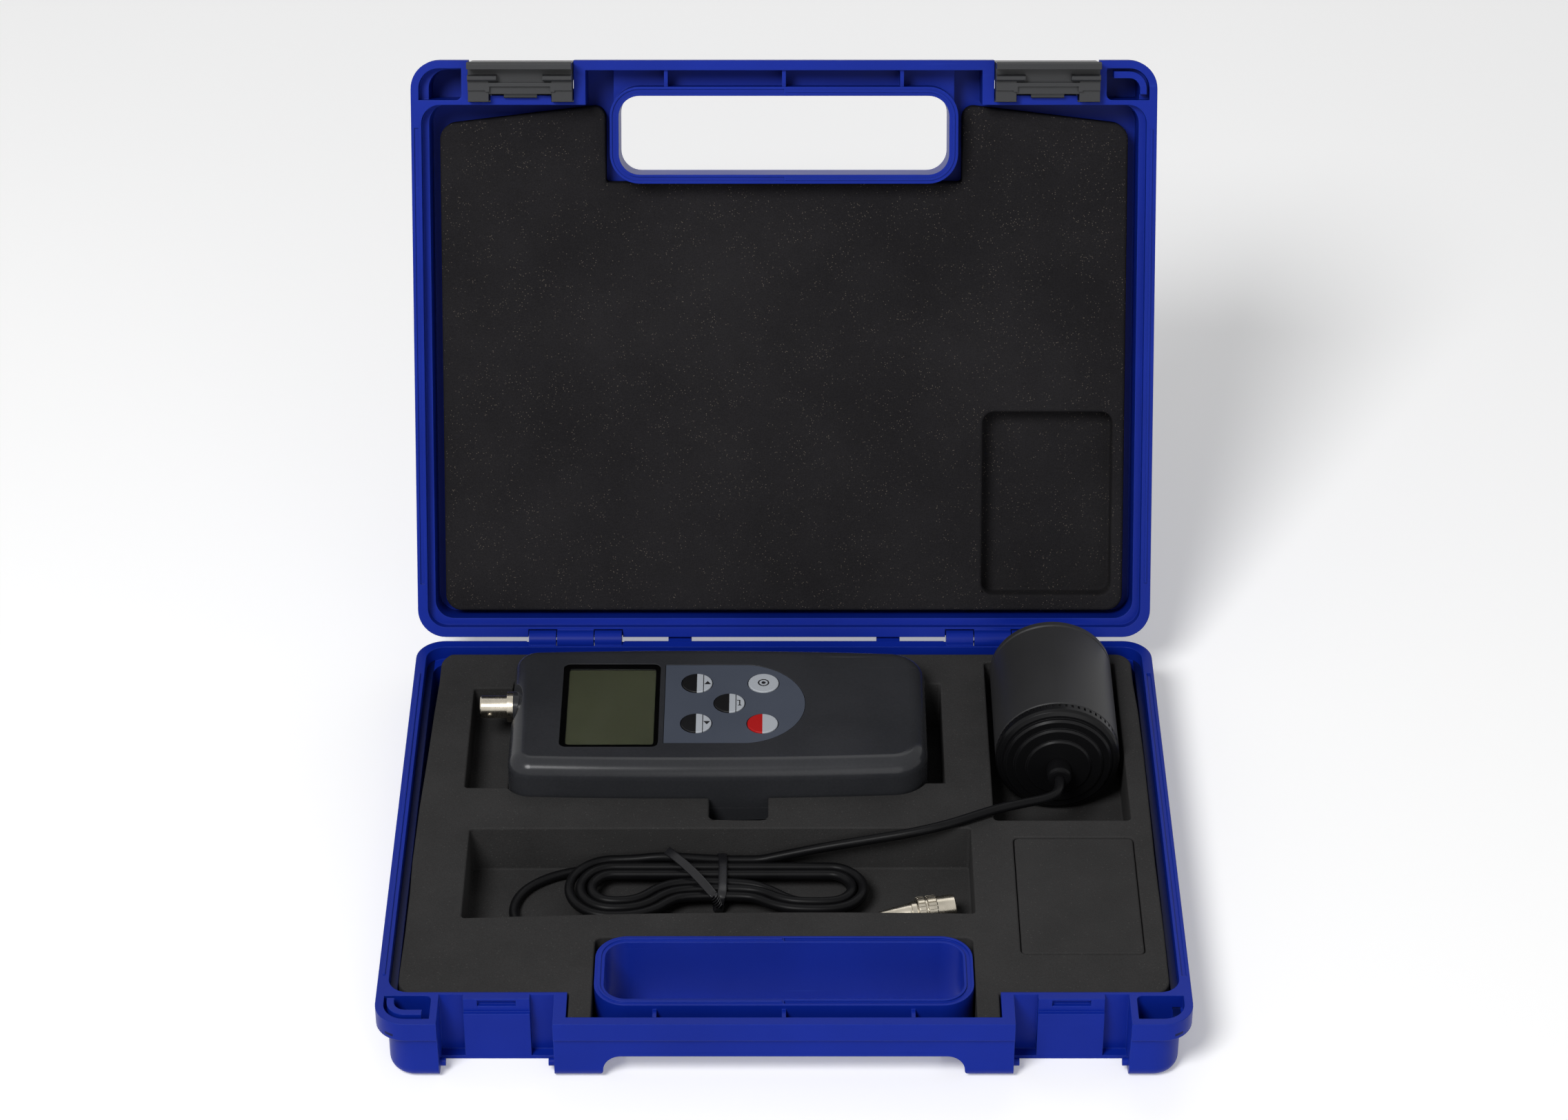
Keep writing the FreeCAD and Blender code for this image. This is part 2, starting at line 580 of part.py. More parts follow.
def sensor_head():
    """Barrel, nose ring and stepped cap on the +Y axis, with the optics inside."""
    nose = Vec(head_x, head_nose, head_z)
    inward = Vec(0, -1, 0)
    length = head_nose - head_joint
    pieces = {}
    pieces["head_barrel"] = turned([(23.0, 4.0), (25.2, 4.0), (head_r, 4.6), (head_r, length - 0.4),
                                    (25.4, length), (23.0, length)], nose, inward)
    pieces["nose_ring"] = turned([(9.0, 0), (24.6, 0), (head_r, 1.2), (head_r, 3.4), (25.2, 4.0),
                                  (23.0, 4.0), (23.0, 7.0), (20.0, 7.0), (20.0, 4.0), (12.0, 4.0)],
                                 nose, inward)
    pieces["nose_window"] = rod(Vec(head_x, head_nose - 5.4, head_z), axis_y, 19.6, 1.4)
    sphere = Part.makeSphere(19.0, Vec(head_x, head_nose - 25.0, head_z))
    cup = turned([(0, 5.4), (19.9, 5.4), (19.9, 7.0), (23.0, 7.0), (23.0, 40.0), (0, 40.0)], nose, inward)
    cup = cut_all(cup, [sphere, rod(Vec(head_x, head_nose - 12, head_z), axis_y, 9.0, 8),
                        rod(Vec(head_x, head_nose - 41, head_z), axis_y, 4.5, 10)])
    pieces["light_cup"] = cup
    pieces["sensor_chip"] = rod(Vec(head_x, head_nose - 43.0, head_z), axis_y, 4.2, 3.0)
    pieces["sensor_board"] = rod(Vec(head_x, head_nose - 44.6, head_z), axis_y, 23.0, 1.6)
    leds = []
    for i in range(6):
        a = math.radians(60 * i + 30)
        spot = Vec(head_x + 14 * math.cos(a), head_nose - 43.0, head_z + 14 * math.sin(a))
        leds.append(rod(spot, axis_y, 2.0, 2.9))
    pieces["light_leds"] = Part.makeCompound(leds)

    joint = Vec(head_x, head_joint, head_z)
    cap = turned([(0, -6.0), (22.7, -6.0), (22.7, 0.0), (25.4, 0.0), (head_r, 0.5), (head_r, 4.0),
                  (25.1, 5.2), (23.6, 6.0), (22.4, 6.0), (22.4, 7.2), (21.6, 7.9), (18.6, 7.9),
                  (18.6, 8.7), (17.8, 9.3), (13.6, 9.3), (13.6, 9.9), (12.9, 10.5), (0, 10.5)],
                 joint, inward)
    hollow = [(0, -7.0), (20.4, -7.0), (20.4, 3.4), (16.0, 5.6), (11.0, 8.5), (0, 8.5)]
    cap = cap.cut(turned(hollow, joint, inward))
    cap = cap.cut(rod(Vec(head_x, head_tail - 1, head_z), axis_y, 3.6, 12))
    ticks = []
    for i in range(60):
        tick = box(head_x - 0.5, head_x + 0.5, head_joint - 2.3, head_joint - 0.2,
                   head_z + head_r - 0.8, head_z + head_r + 1)
        ticks.append(tick.rotated(joint, axis_y, 6 * i))
    pieces["rear_cap"] = cap.cut(Part.makeCompound(ticks))
    pieces["cable_boot"] = turned([(lead_r, -3.0), (5.2, -3.0), (5.2, -2.0), (3.6, -2.0), (3.6, 0), (4.8, 0),
                                   (5.0, 0.4), (5.0, boot_len - 1.2), (4.5, boot_len - 0.3), (3.6, boot_len),
                                   (lead_r, boot_len)], Vec(head_x, head_tail, head_z), inward)
    return pieces


def unit(vec):
    return vec * (1.0 / vec.Length)


def rounded_route(points):
    """Straight runs joined by tangent arcs, each radius 0.45 of the shorter run over tan(half the turn)."""
    edges, radii = [], []
    here = points[0]
    for i in range(1, len(points) - 1):
        a = points[i] - points[i - 1]
        b = points[i + 1] - points[i]
        turn = a.getAngle(b)
        trim = 0.45 * min(a.Length, b.Length)
        r = trim / math.tan(turn / 2)
        radii.append(r)
        start = points[i] - unit(a) * trim
        end = points[i] + unit(b) * trim
        centre_way = unit(unit(b) - unit(a))
        centre = points[i] + centre_way * (r / math.cos(turn / 2))
        middle = centre - centre_way * r
        edges.append(Part.LineSegment(here, start).toShape())
        edges.append(Part.Arc(start, middle, end).toShape())
        here = end
    edges.append(Part.LineSegment(here, points[-1]).toShape())
    return edges, radii


def arc_from(start, tangent, end):
    """Arc that leaves start along the tangent and passes through end."""
    chord = end - start
    way = unit(chord)
    side = tangent - way * tangent.dot(way)
    half = tangent.getAngle(chord)
    middle = (start + end) * 0.5 + unit(side) * (0.5 * chord.Length * math.tan(half / 2))
    return Part.Arc(start, middle, end).toShape()


def ease(start, end, tangent, share):
    """Two arcs that shift sideways and leave along the same tangent, meeting at a share of the chord."""
    middle = start + (end - start) * share
    first = arc_from(start, tangent, middle)
    lean = first.tangentAt(first.LastParameter)
    return [first, arc_from(middle, lean, end)]


def half_turn(start, end, bulge):
    middle = (start + end) * 0.5 + bulge * (0.5 * (end - start).Length)
    return Part.Arc(start, middle, end).toShape()


def hank_edges():
    """Two layers of like loops: in on the top layer, down along a front run, out again below.
    The front runs ease in to the waist on concentric arcs, so that they keep their spacing."""
    edges = []
    ease_sum = (hank_ease ** 2 + hank_draw ** 2) / (2 * hank_draw)
    low, high = hank_z
    left, right = axis_x * -1, axis_x
    rows = [hank_half - strand * i for i in range(3)]

    def back_run(row, z, x_from):
        edges.append(Part.LineSegment(Vec(x_from, hank_y + row, z), Vec(hank_x0, hank_y + row, z)).toShape())

    def left_end(row, z):
        edges.append(half_turn(Vec(hank_x0, hank_y + row, z), Vec(hank_x0, hank_y - row, z), left))

    def front_run(row, z, z_end):
        a = Vec(hank_x0, hank_y - row, z)
        b = Vec(hank_x0 + hank_ease, hank_y - row + hank_draw, z)
        c = Vec(hank_x1 - hank_ease, hank_y - row + hank_draw, z)
        d = Vec(hank_x1, hank_y - row, z_end)
        share = 0.5 + (row - rows[1]) / ease_sum
        edges.extend(ease(a, b, right, share))
        edges.append(Part.LineSegment(b, c).toShape())
        edges.extend(ease(c, d, right, 1 - share))

    def right_end(row, next_row, z):
        edges.append(half_turn(Vec(hank_x1, hank_y - row, z), Vec(hank_x1, hank_y + next_row, z), right))

    back_run(rows[0], high, hank_in_x)
    for i in range(3):
        left_end(rows[i], high)
        front_run(rows[i], high, high if i < 2 else low)
        if i < 2:
            right_end(rows[i], rows[i + 1], high)
            back_run(rows[i + 1], high, hank_x1)
    right_end(rows[2], rows[1], low)
    back_run(rows[1], low, hank_x1)
    left_end(rows[1], low)
    front_run(rows[1], low, low)
    right_end(rows[1], rows[0], low)
    back_run(rows[0], low, hank_x1)
    return edges


def tube(edges, start, tangent, name):
    spine = Part.Wire(edges)
    ring = Part.Wire([Part.makeCircle(lead_r, start, tangent)])
    shape = spine.makePipeShell([ring], True, False)
    want = math.pi * lead_r ** 2 * spine.Length
    print("%-20s length %.1f  volume ratio %.4f" % (name, spine.Length, shape.Volume / want))
    return shape


def self_gap(edges, name):
    """Least clear space between stretches of one path, measured on points 1 mm apart."""
    points = []
    for edge in edges:
        count = max(2, int(edge.Length))
        for point in edge.discretize(count + 1):
            if not points or (point - points[-1]).Length > 0.2:
                points.append(point)
    run = [0.0]
    for i in range(1, len(points)):
        run.append(run[-1] + (points[i] - points[i - 1]).Length)
    least = 1e9
    for i in range(len(points)):
        for j in range(i + 1, len(points)):
            if run[j] - run[i] > 4 * lead_d:
                least = min(least, (points[i] - points[j]).Length)
    print("%-20s least gap to itself %.2f" % (name, least - lead_d))


plug_way = Vec(math.cos(math.radians(plug_deg)), math.sin(math.radians(plug_deg)), 0)
hank_top_start = Vec(hank_in_x, hank_y + hank_half, hank_z[1])
hank_low_end = Vec(hank_x0, hank_y + hank_half, hank_z[0])
lead_route = [
    Vec(head_x, head_tail - boot_len, head_z),
    Vec(head_x, 18.8, head_z),
    Vec(108.0, 13.2, 30.2),
    Vec(98.0, 9.4, 31.0),
    Vec(85.5, 4.6, 31.4),
    Vec(68.0, -4.4, 31.2),
    Vec(52.0, -7.3, 28.8),
    Vec(36.0, -7.5, 25.6),
    Vec(14.0, -7.8, 21.2),
    Vec(-3.0, hank_y + hank_half, 16.6),
    Vec(-9.5, hank_y + hank_half, hank_z[1]),
    hank_top_start,
]
tail_route = [
    hank_low_end,
    Vec(-78.5, hank_y + hank_half, hank_z[0]),
    Vec(-95.0, -11.4, 9.6),
    Vec(-107.0, -21.0, 9.3),
    Vec(-110.4, -35.0, 9.3),
    Vec(-104.0, -47.4, 9.3),
    Vec(-89.0, -53.4, 9.3),
    Vec(-66.0, -53.9, 9.3),
    Vec(-36.0, -53.2, 9.3),
    Vec(-10.0, -53.8, 9.3),
    Vec(8.0, -53.4, 9.4),
    Vec(20.6, -49.8, 11.5),
    plug_start - plug_way * 9.0,
    plug_start,
]


def hank_tie():
    """A flat tie wound once round every strand at the waist, with its knot and one loose end."""
    y0 = hank_y - hank_half + hank_draw - lead_r - 0.35
    y1 = hank_y + hank_half + lead_r + 0.35
    z0, z1 = hank_z[0] - lead_r - 0.25, hank_z[1] + lead_r + 0.25
    outer = box(tie_x - 1.9, tie_x + 1.9, y0 - 0.7, y1 + 0.7, z0 - 0.7, z1 + 0.7)
    inner = box(tie_x - 3, tie_x + 3, y0, y1, z0, z1)
    along = [e for e in outer.Edges if abs(e.Vertexes[0].Point.x - e.Vertexes[-1].Point.x) > 1]
    outer = outer.makeFillet(2.0, along)
    along = [e for e in inner.Edges if abs(e.Vertexes[0].Point.x - e.Vertexes[-1].Point.x) > 1]
    band = outer.cut(inner.makeFillet(1.3, along))
    knot = box(tie_x - 3.2, tie_x + 1.9, y0 - 2.4, y0 - 0.3, 13.0, 16.6)
    knot = knot.makeFillet(0.7, knot.Edges)
    end = box(0, 27, -1.4, 1.4, 0, 0.9)
    end = end.rotated(Vec(0, 0, 0), axis_z, 138).translated(Vec(tie_x - 1.8, y0 - 0.4, z1 + 0.4))
    return fuse_all([band, knot, end])


def plug_pieces():
    """Bayonet plug: tapered tail, fixed ring and body, and the knurled sleeve that turns on it."""
    def along(profile):
        return turned(profile, plug_start, plug_way)
    tail = along([(lead_r, 0), (2.5, 0), (3.4, 5.5), (4.3, 12.0), (4.3, 13.0), (lead_r, 13.0)])
    body = along([(lead_r, 13.0), (4.9, 13.0), (4.9, 15.0), (4.3, 15.0), (4.3, 21.0), (3.95, 21.0),
                  (3.95, 28.6), (3.5, 28.6), (3.5, 22.0), (lead_r, 22.0)])
    pin = along([(0, 20.0), (0.65, 20.0), (0.65, 27.0), (0, 27.6)])
    bush = along([(0.65, 22.0), (3.5, 22.0), (3.5, 24.0), (0.65, 24.0)])
    sleeve = along([(4.6, 15.4), (6.2, 15.4), (6.5, 15.8), (6.5, 18.2), (5.9, 18.6), (5.9, 19.2),
                    (6.5, 19.6), (6.5, 22.8), (6.2, 23.2), (5.8, 23.2), (5.8, 30.4), (5.4, 30.8),
                    (5.0, 30.8), (5.0, 21.4), (4.6, 21.4)])
    grooves = []
    for i in range(24):
        groove = Part.makeBox(9.0, 0.5, 2.0, Vec(15.0, -0.25, 6.15))
        groove = groove.rotated(Vec(0, 0, 0), axis_x, 15 * i)
        groove = groove.rotated(Vec(0, 0, 0), axis_z, plug_deg)
        grooves.append(groove.translated(plug_start))
    sleeve = sleeve.cut(Part.makeCompound(grooves))
    return tail, body, pin, bush, sleeve


def base_foam():
    foam = round_box(-foam_x, foam_x, shelf_y + 0.5, back - flange_side - wall - 0.8, wall, foam_top, 7.6)
    nose = box(-channel_x + 0.6, channel_x - 0.6, -119.4, shelf_y + 8, arch_h + wall, foam_top)
    foam = foam.fuse(nose)
    foam = foam.cut(round_box(-ring_x - 0.6, ring_x + 0.6, ring_y0 - 10, ring_y1 + 0.6, 0, 40, 3))
    pocket_z0 = meter_z0 - 0.3
    cuts = [
        meter_block(-1.4, pocket_z0, 40, 0, 0),
        box(30, 66.6, meter_y - 34, meter_y + 34, pocket_z0, 40),
        round_box(-131.8, -100, 22.9, 90.8, 12.0, 40, 1.5),
        round_box(-30.8, -6.5, 1.9, 30, 12.0, 40, 3),
        trough_cut(),
        round_box(head_x - head_room, head_x + head_room, 1.5, 109.5, head_z - head_r - 0.4, 40, 2),
        round_box(93, 142, -82, -9.5, 9.0, 40, 2.5),
    ]
    return cut_all(foam, cuts).removeSplitter()


def trough_cut():
    x0, x1, z = -128.0, 76.0, trough_floor
    edges = [
        Part.Arc(Vec(x0, -60.0, z), Vec(-26, -56.6, z), Vec(x1, -57.2, z)).toShape(),
        Part.LineSegment(Vec(x1, -57.2, z), Vec(x1, -3.4, z)).toShape(),
        Part.LineSegment(Vec(x1, -3.4, z), Vec(x0, -4.0, z)).toShape(),
        Part.LineSegment(Vec(x0, -4.0, z), Vec(x0, -60.0, z)).toShape(),
    ]
    block = Part.Face(Part.Wire(edges)).extrude(Vec(0, 0, 40))
    return block.makeFillet(1.5, upright_edges(block))


def foam_plug():
    return round_box(93.4, 141.6, -81.6, -9.9, 9.0, foam_top - 0.2, 2.1)


def lid_foam():
    """A sheet on the lid's floor, drawn shut, slanted at the latches and notched for the ring."""
    z0, z1 = shut_top - wall - lid_foam_t, shut_top - wall
    notch_y = ring_y1 + 0.7
    plan = [(-147, 114), (147, 114), (147, -96.5), (76.2, -105.0), (76.2, notch_y), (-76.2, notch_y),
            (-76.2, -105.0), (-147, -96.5)]
    face = Part.Face(Part.makePolygon([Vec(x, y, z0) for x, y in plan] + [Vec(plan[0][0], plan[0][1], z0)]))
    sheet = face.extrude(Vec(0, 0, z1 - z0))
    corners = [e for e in upright_edges(sheet) if abs(e.Vertexes[0].Point.x) > 140]
    sheet = sheet.makeFillet(7.0, corners)
    corners = [e for e in upright_edges(sheet) if abs(e.Vertexes[0].Point.y + 105.0) < 0.1]
    sheet = sheet.makeFillet(5.0, corners)
    return sheet.cut(round_box(head_x - head_room, head_x + head_room, 27, 107, z0 - 1, z1 - 0.8, 5))


half = half_shell()
save(base_shell(half), "base_shell")
save(raise_lid(lid_shell(half)), "lid_shell")
save(hinge_pins(), "hinge_pins")
save(raise_lid(latch(-1)), "latch_left")
save(raise_lid(latch(1)), "latch_right")
save(base_foam(), "base_foam")
save(foam_plug(), "foam_plug")
save(raise_lid(lid_foam()), "lid_foam")

front_half, rear_half, door = meter_shells()
save(front_half, "meter_front")
save(rear_half, "meter_rear")
save(door, "battery_door")
window = round_box(-92.8, -52.2, meter_y - 28.3, meter_y + 28.3, meter_z1 - 1.6, meter_z1 - 0.1, 2.8)
save(window, "display_window")
overlay = keypad_block(0.2, meter_z1 - 1.2, meter_z1 - 0.1)
key_holes = [rod(Vec(x, y, 40), axis_z, key_r + 0.35, 6) for x, y in keys.values()]
save(cut_all(overlay, key_holes), "keypad_overlay")
for name, (x, y) in keys.items():
    save(key_cap(x, y), name)
board, display, domes, chips = meter_inside()
save(board, "main_board")
save(display, "lcd_panel")
save(domes, "key_domes")
save(chips, "board_chips")
cells, plates, springs = cell_set()
save(cells, "battery_cells")
save(plates, "battery_plates")
save(springs, "battery_springs")
save(meter_screws(), "meter_screws")
shell, bush, pin, nut = probe_socket()
save(shell, "socket_shell")
save(bush, "socket_bush")
save(pin, "socket_contact")
save(nut, "socket_nut")

for name, piece in sensor_head().items():
    save(piece, name)

lead_edges, lead_radii = rounded_route(lead_route)
tail_edges, tail_radii = rounded_route(tail_route)
print("lead radii", " ".join("%.1f" % r for r in lead_radii))
print("tail radii", " ".join("%.1f" % r for r in tail_radii))
coils = hank_edges()
self_gap(coils, "lead_hank")
self_gap(lead_edges + coils + tail_edges, "whole lead")
save(tube(lead_edges, lead_route[0], axis_y, "lead_free"), "lead_free")
save(tube(coils, hank_top_start, axis_x, "lead_hank"), "lead_hank")
save(tube(tail_edges, hank_low_end, axis_x, "lead_tail"), "lead_tail")
save(hank_tie(), "hank_tie")
tail, body, pin, bush, sleeve = plug_pieces()
save(tail, "plug_tail")
save(body, "plug_body")
save(pin, "plug_pin")
save(bush, "plug_bush")
save(sleeve, "plug_sleeve")
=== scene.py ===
import json
import math
import bmesh
import bpy
import numpy as np
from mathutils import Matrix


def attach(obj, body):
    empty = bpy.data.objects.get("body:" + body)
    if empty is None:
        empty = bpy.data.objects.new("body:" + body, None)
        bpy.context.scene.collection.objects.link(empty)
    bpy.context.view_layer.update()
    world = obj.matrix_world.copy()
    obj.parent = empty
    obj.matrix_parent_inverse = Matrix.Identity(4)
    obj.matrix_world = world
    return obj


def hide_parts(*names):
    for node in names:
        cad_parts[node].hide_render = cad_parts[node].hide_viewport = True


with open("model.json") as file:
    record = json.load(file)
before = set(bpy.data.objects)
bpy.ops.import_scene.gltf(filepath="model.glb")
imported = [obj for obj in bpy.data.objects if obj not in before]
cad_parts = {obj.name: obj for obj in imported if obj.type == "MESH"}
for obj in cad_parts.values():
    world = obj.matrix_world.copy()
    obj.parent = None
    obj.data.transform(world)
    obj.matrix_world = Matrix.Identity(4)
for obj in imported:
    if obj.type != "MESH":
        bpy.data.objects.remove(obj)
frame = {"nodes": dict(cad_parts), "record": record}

scene = bpy.context.scene
nodes = frame["nodes"]
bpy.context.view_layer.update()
print("frame loaded:", len(nodes), "nodes")


# camera

cameraSet = {
    "eye": (0.0, -1.3357, 1.1072),
    "pitch": 35.35,          # degrees below the horizon
    "focalPixels": 6088.5,   # on an image of this width
    "imageWidth": 2274,
    "sensor": 36.0,
    "near": 0.01,
}


def addCamera(s):
    lens = bpy.data.cameras.new("camera")
    lens.sensor_width = s["sensor"]
    lens.lens = s["focalPixels"] * s["sensor"] / s["imageWidth"]
    lens.clip_start = s["near"]
    camera = bpy.data.objects.new("camera", lens)
    camera.location = s["eye"]
    camera.rotation_euler = (math.radians(90 - s["pitch"]), 0, 0)
    scene.collection.objects.link(camera)
    scene.camera = camera


# shader expressions

class Wire:
    # a socket that joins in Python arithmetic: each operator adds its Math node
    def __init__(self, tree, socket=None):
        self.tree = tree
        self.socket = socket

    def add(self, kind, settings=None, sockets=None, out=0):
        # a node of one kind: its settings first, then the values or wires of its sockets
        node = self.tree.nodes.new("ShaderNode" + kind)
        for name, value in (settings or {}).items():
            setattr(node, name, value)
        for key, value in (sockets or {}).items():
            if isinstance(value, Wire):
                self.tree.links.new(value.socket, node.inputs[key])
            else:
                node.inputs[key].default_value = value
        return Wire(self.tree, node.outputs[out])

    def reckon(self, operation, *values):
        return self.add("Math", {"operation": operation}, dict(enumerate(values)))

    def __add__(self, other):
        return self.reckon("ADD", self, other)

    def __radd__(self, other):
        return self.reckon("ADD", other, self)

    def __sub__(self, other):
        return self.reckon("SUBTRACT", self, other)

    def __rsub__(self, other):
        return self.reckon("SUBTRACT", other, self)

    def __mul__(self, other):
        return self.reckon("MULTIPLY", self, other)

    def __rmul__(self, other):
        return self.reckon("MULTIPLY", other, self)

    def __gt__(self, other):
        return self.reckon("GREATER_THAN", self, other)

    def __lt__(self, other):
        return self.reckon("LESS_THAN", self, other)

    def __abs__(self):
        return self.reckon("ABSOLUTE", self)

    def step(self, low, high):
        # 0 below low, 1 above high, eased between
        return self.add("MapRange", {"interpolation_type": "SMOOTHSTEP"},
                        {"Value": self, "From Min": low, "From Max": high})

    def most(self, other):
        return self.reckon("MAXIMUM", self, other)

    def blend(self, first, second):
        # a colour between two, this value as the share of the second; 6, 7 and 2 are Mix's colour sockets
        return self.add("Mix", {"data_type": "RGBA"}, {0: self, 6: first, 7: second}, 2)


def startFinish(name, **constants):
    # a material with one Principled shader, its constants set on the sockets themselves
    material = bpy.data.materials.new(name)
    material.use_nodes = True
    tree = material.node_tree
    shader = tree.nodes["Principled BSDF"]
    for key, value in constants.items():
        shader.inputs[key.replace("_", " ")].default_value = value
    wire = Wire(tree)
    place = wire.add("TexCoord", out="Object")
    return material, shader, wire, place


def feed(wire, shader, **inputs):
    for key, value in inputs.items():
        wire.tree.links.new(value.socket, shader.inputs[key.replace("_", " ")])


def noise(wire, place, scale, detail=2.0, rough=0.5):
    return wire.add("TexNoise", {}, {"Vector": place, "Scale": scale, "Detail": detail, "Roughness": rough})


def stretched(wire, place, scale, turn=(0, 0, 0)):
    return wire.add("Mapping", {}, {"Vector": place, "Rotation": turn, "Scale": scale})


def cellNoise(wire, place, scale):
    # distance to the middle of the nearest cell
    return wire.add("TexVoronoi", {"feature": "F1"}, {"Vector": place, "Scale": scale})


def coordinates(wire, place):
    split = wire.add("SeparateXYZ", {}, {0: place})
    return [Wire(wire.tree, out) for out in split.socket.node.outputs]


def softNormal(wire, radius):
    # the normal, rounded over edges
    return wire.add("Bevel", {"samples": 4}, {"Radius": radius})


def edgeMask(wire, soft, limits):
    # 1 where the rounded normal leaves the face's own: one less their dot product, between the limits
    face = wire.add("NewGeometry", out="Normal")
    same = wire.add("VectorMath", {"operation": "DOT_PRODUCT"}, {0: soft, 1: face}, "Value")
    return (1 - same).step(*limits)


def bump(wire, height, strength, distance, normal=None):
    sockets = {"Height": height, "Strength": strength, "Distance": distance}
    if normal is not None:
        sockets["Normal"] = normal
    return wire.add("Bump", {}, sockets)


def colour(red, green, blue):
    return (red, green, blue, 1.0)


# finishes

mouldedSet = {                    # for every moulded finish whose own settings say nothing else
    "specular": 0.18,
    "cloudScale": 18.0,
    "cloudShare": 0.7,            # of the tone, the rest is grain
    "toneStep": (0.3, 0.72),
    "roughSwing": 0.16,
    "grainDepth": 0.0001,
    "scuff": 0.35,
    "scuffScale": (9.0, 420.0, 260.0),
    "scuffTurn": (0.2, 0.5, 0.7),
    "scuffStep": (0.66, 0.74),
    "scuffRough": 0.12,
    "patchScale": 11.0,           # of the areas that have scuffs
    "patchStep": (0.5, 0.68),
    # share of the paler edges, partly wear and partly painted highlight
    "edgeShare": 0.35,
    "edgeStep": (0.005, 0.12),
}


def mouldedFinish(name, own):
    # moulded plastic: fine spark-eroded grain, cloudy gloss, thin scuffs, and paler rounded edges that stand for both
    # wear and a painted highlight; some finishes add painted shade on a ledge
    s = {**mouldedSet, **own}
    material, shader, wire, place = startFinish(name, Specular_IOR_Level=s["specular"])
    cloud = noise(wire, place, s["cloudScale"], 3.0)
    grain = noise(wire, place, s["grainScale"], 2.0, 0.6)
    soft = softNormal(wire, s["edge"])
    edge = edgeMask(wire, soft, s["edgeStep"])
    lines = noise(wire, stretched(wire, place, s["scuffScale"], s["scuffTurn"]), 1.0, 3.0, 0.65)
    patch = noise(wire, place, s["patchScale"], 2.0)
    scuff = lines.step(*s["scuffStep"]) * patch.step(*s["patchStep"])
    tone = (cloud * s["cloudShare"] + grain * (1 - s["cloudShare"])).step(*s["toneStep"])
    body = tone.blend(colour(*s["low"]), colour(*s["high"]))
    marked = (scuff * s["scuff"]).blend(body, colour(*s["wearAndHighlight"]))
    # paler rounded edges: partly wear, partly a painted highlight where the edges catch light
    final = (edge * s["edgeShare"]).blend(marked, colour(*s["wearAndHighlight"]))
    # painted shade: the ledge beside the foam darkened in colour, where a finish asks for it
    if "gap" in s:
        final = gapMask(wire, place, s["gap"]).blend(final, colour(*s["gap"]["tone"]))
    rough = s["rough"] + (cloud - 0.5) * s["roughSwing"] + scuff * s["scuffRough"]
    feed(wire, shader, Base_Color=final, Roughness=rough,
         Normal=bump(wire, grain, s["grain"], s["grainDepth"], soft))
    return material


def gapMask(wire, place, s):
    # painted shade: 1 on the narrow ledge beside the foam, whose colour is darkened to stand for the shade that falls
    # there
    x, y, z = coordinates(wire, place)
    side = abs(x)
    inner, outer = s["side"]
    return (side > inner) * (side < outer) * (abs(z - s["height"]) < s["half"]) * s["share"]


foamSkin = {                      # for both kinds of foam
    "specular": 0.04,
    "fineRatio": 2.3,             # scale of the fine grain over that of the cells
    "broadScale": 16.0,
    "fineShare": 0.55,            # of the tone, the rest is broad
    "toneStep": (0.32, 0.7),
    "speckSize": (0.08, 0.2),
    "thinScale": 160.0,           # of the areas that have specks
    "thinStep": (0.42, 0.56),
    "rough": 0.9,
    "roughSwing": 0.12,
    "cellShare": 0.6,             # of the relief, the rest is fine
    "depth": 0.0003,
}


def foamFinish(name, own):
    # closed-cell foam: small cells in relief, a cloudy tone and pale specks in some areas
    s = {**foamSkin, **own}
    material, shader, wire, place = startFinish(name, Specular_IOR_Level=s["specular"])
    cells = cellNoise(wire, place, s["cells"])
    fine = noise(wire, place, s["cells"] * s["fineRatio"], 3.0, 0.7)
    broad = noise(wire, place, s["broadScale"], 4.0, 0.6)
    tone = (fine * s["fineShare"] + broad * (1 - s["fineShare"])).step(*s["toneStep"])
    body = tone.blend(colour(*s["low"]), colour(*s["high"]))
    speck = cellNoise(wire, place, s["speckScale"])
    thin = noise(wire, place, s["thinScale"], 1.0)
    spark = (1 - speck.step(*s["speckSize"])) * thin.step(*s["thinStep"])
    final = (spark * s["speckShare"]).blend(body, colour(*s["speck"]))
    rough = s["rough"] + (fine - 0.5) * s["roughSwing"]
    relief = cells * s["cellShare"] + fine * (1 - s["cellShare"])
    feed(wire, shader, Base_Color=final, Roughness=rough, Normal=bump(wire, relief, s["relief"], s["depth"]))
    return material


platedSet = {                     # for every plated metal
    "cloudScale": 140.0,
    "cloudStep": (0.3, 0.72),
    "cloudSwing": 0.14,           # of the roughness
    "lineSwing": 0.1,
    "lineBump": 0.12,
    "lineDepth": 0.00005,
    "edge": 0.00015,
}


def platedFinish(name, own):
    # plated metal: fine turning lines along the part, cloudy tarnish and soft edges
    s = {**platedSet, **own}
    material, shader, wire, place = startFinish(name, Metallic=1.0)
    lines = noise(wire, stretched(wire, place, s["lines"]), 1.0, 2.0, 0.6)
    cloud = noise(wire, place, s["cloudScale"], 3.0, 0.6)
    body = cloud.step(*s["cloudStep"]).blend(colour(*s["low"]), colour(*s["high"]))
    rough = s["rough"] + (cloud - 0.5) * s["cloudSwing"] + (lines - 0.5) * s["lineSwing"]
    relief = bump(wire, lines, s["lineBump"], s["lineDepth"], softNormal(wire, s["edge"]))
    feed(wire, shader, Base_Color=body, Roughness=rough, Normal=relief)
    return material


paneSet = {                       # for both clear panes
    "specular": 0.15,
    "rough": 0.02,
    "smearRough": 0.08,
    "smearScale": (60.0, 20.0, 60.0),
    "smearTurn": (0, 0, 0.5),
    "smearStep": (0.45, 0.8),
}


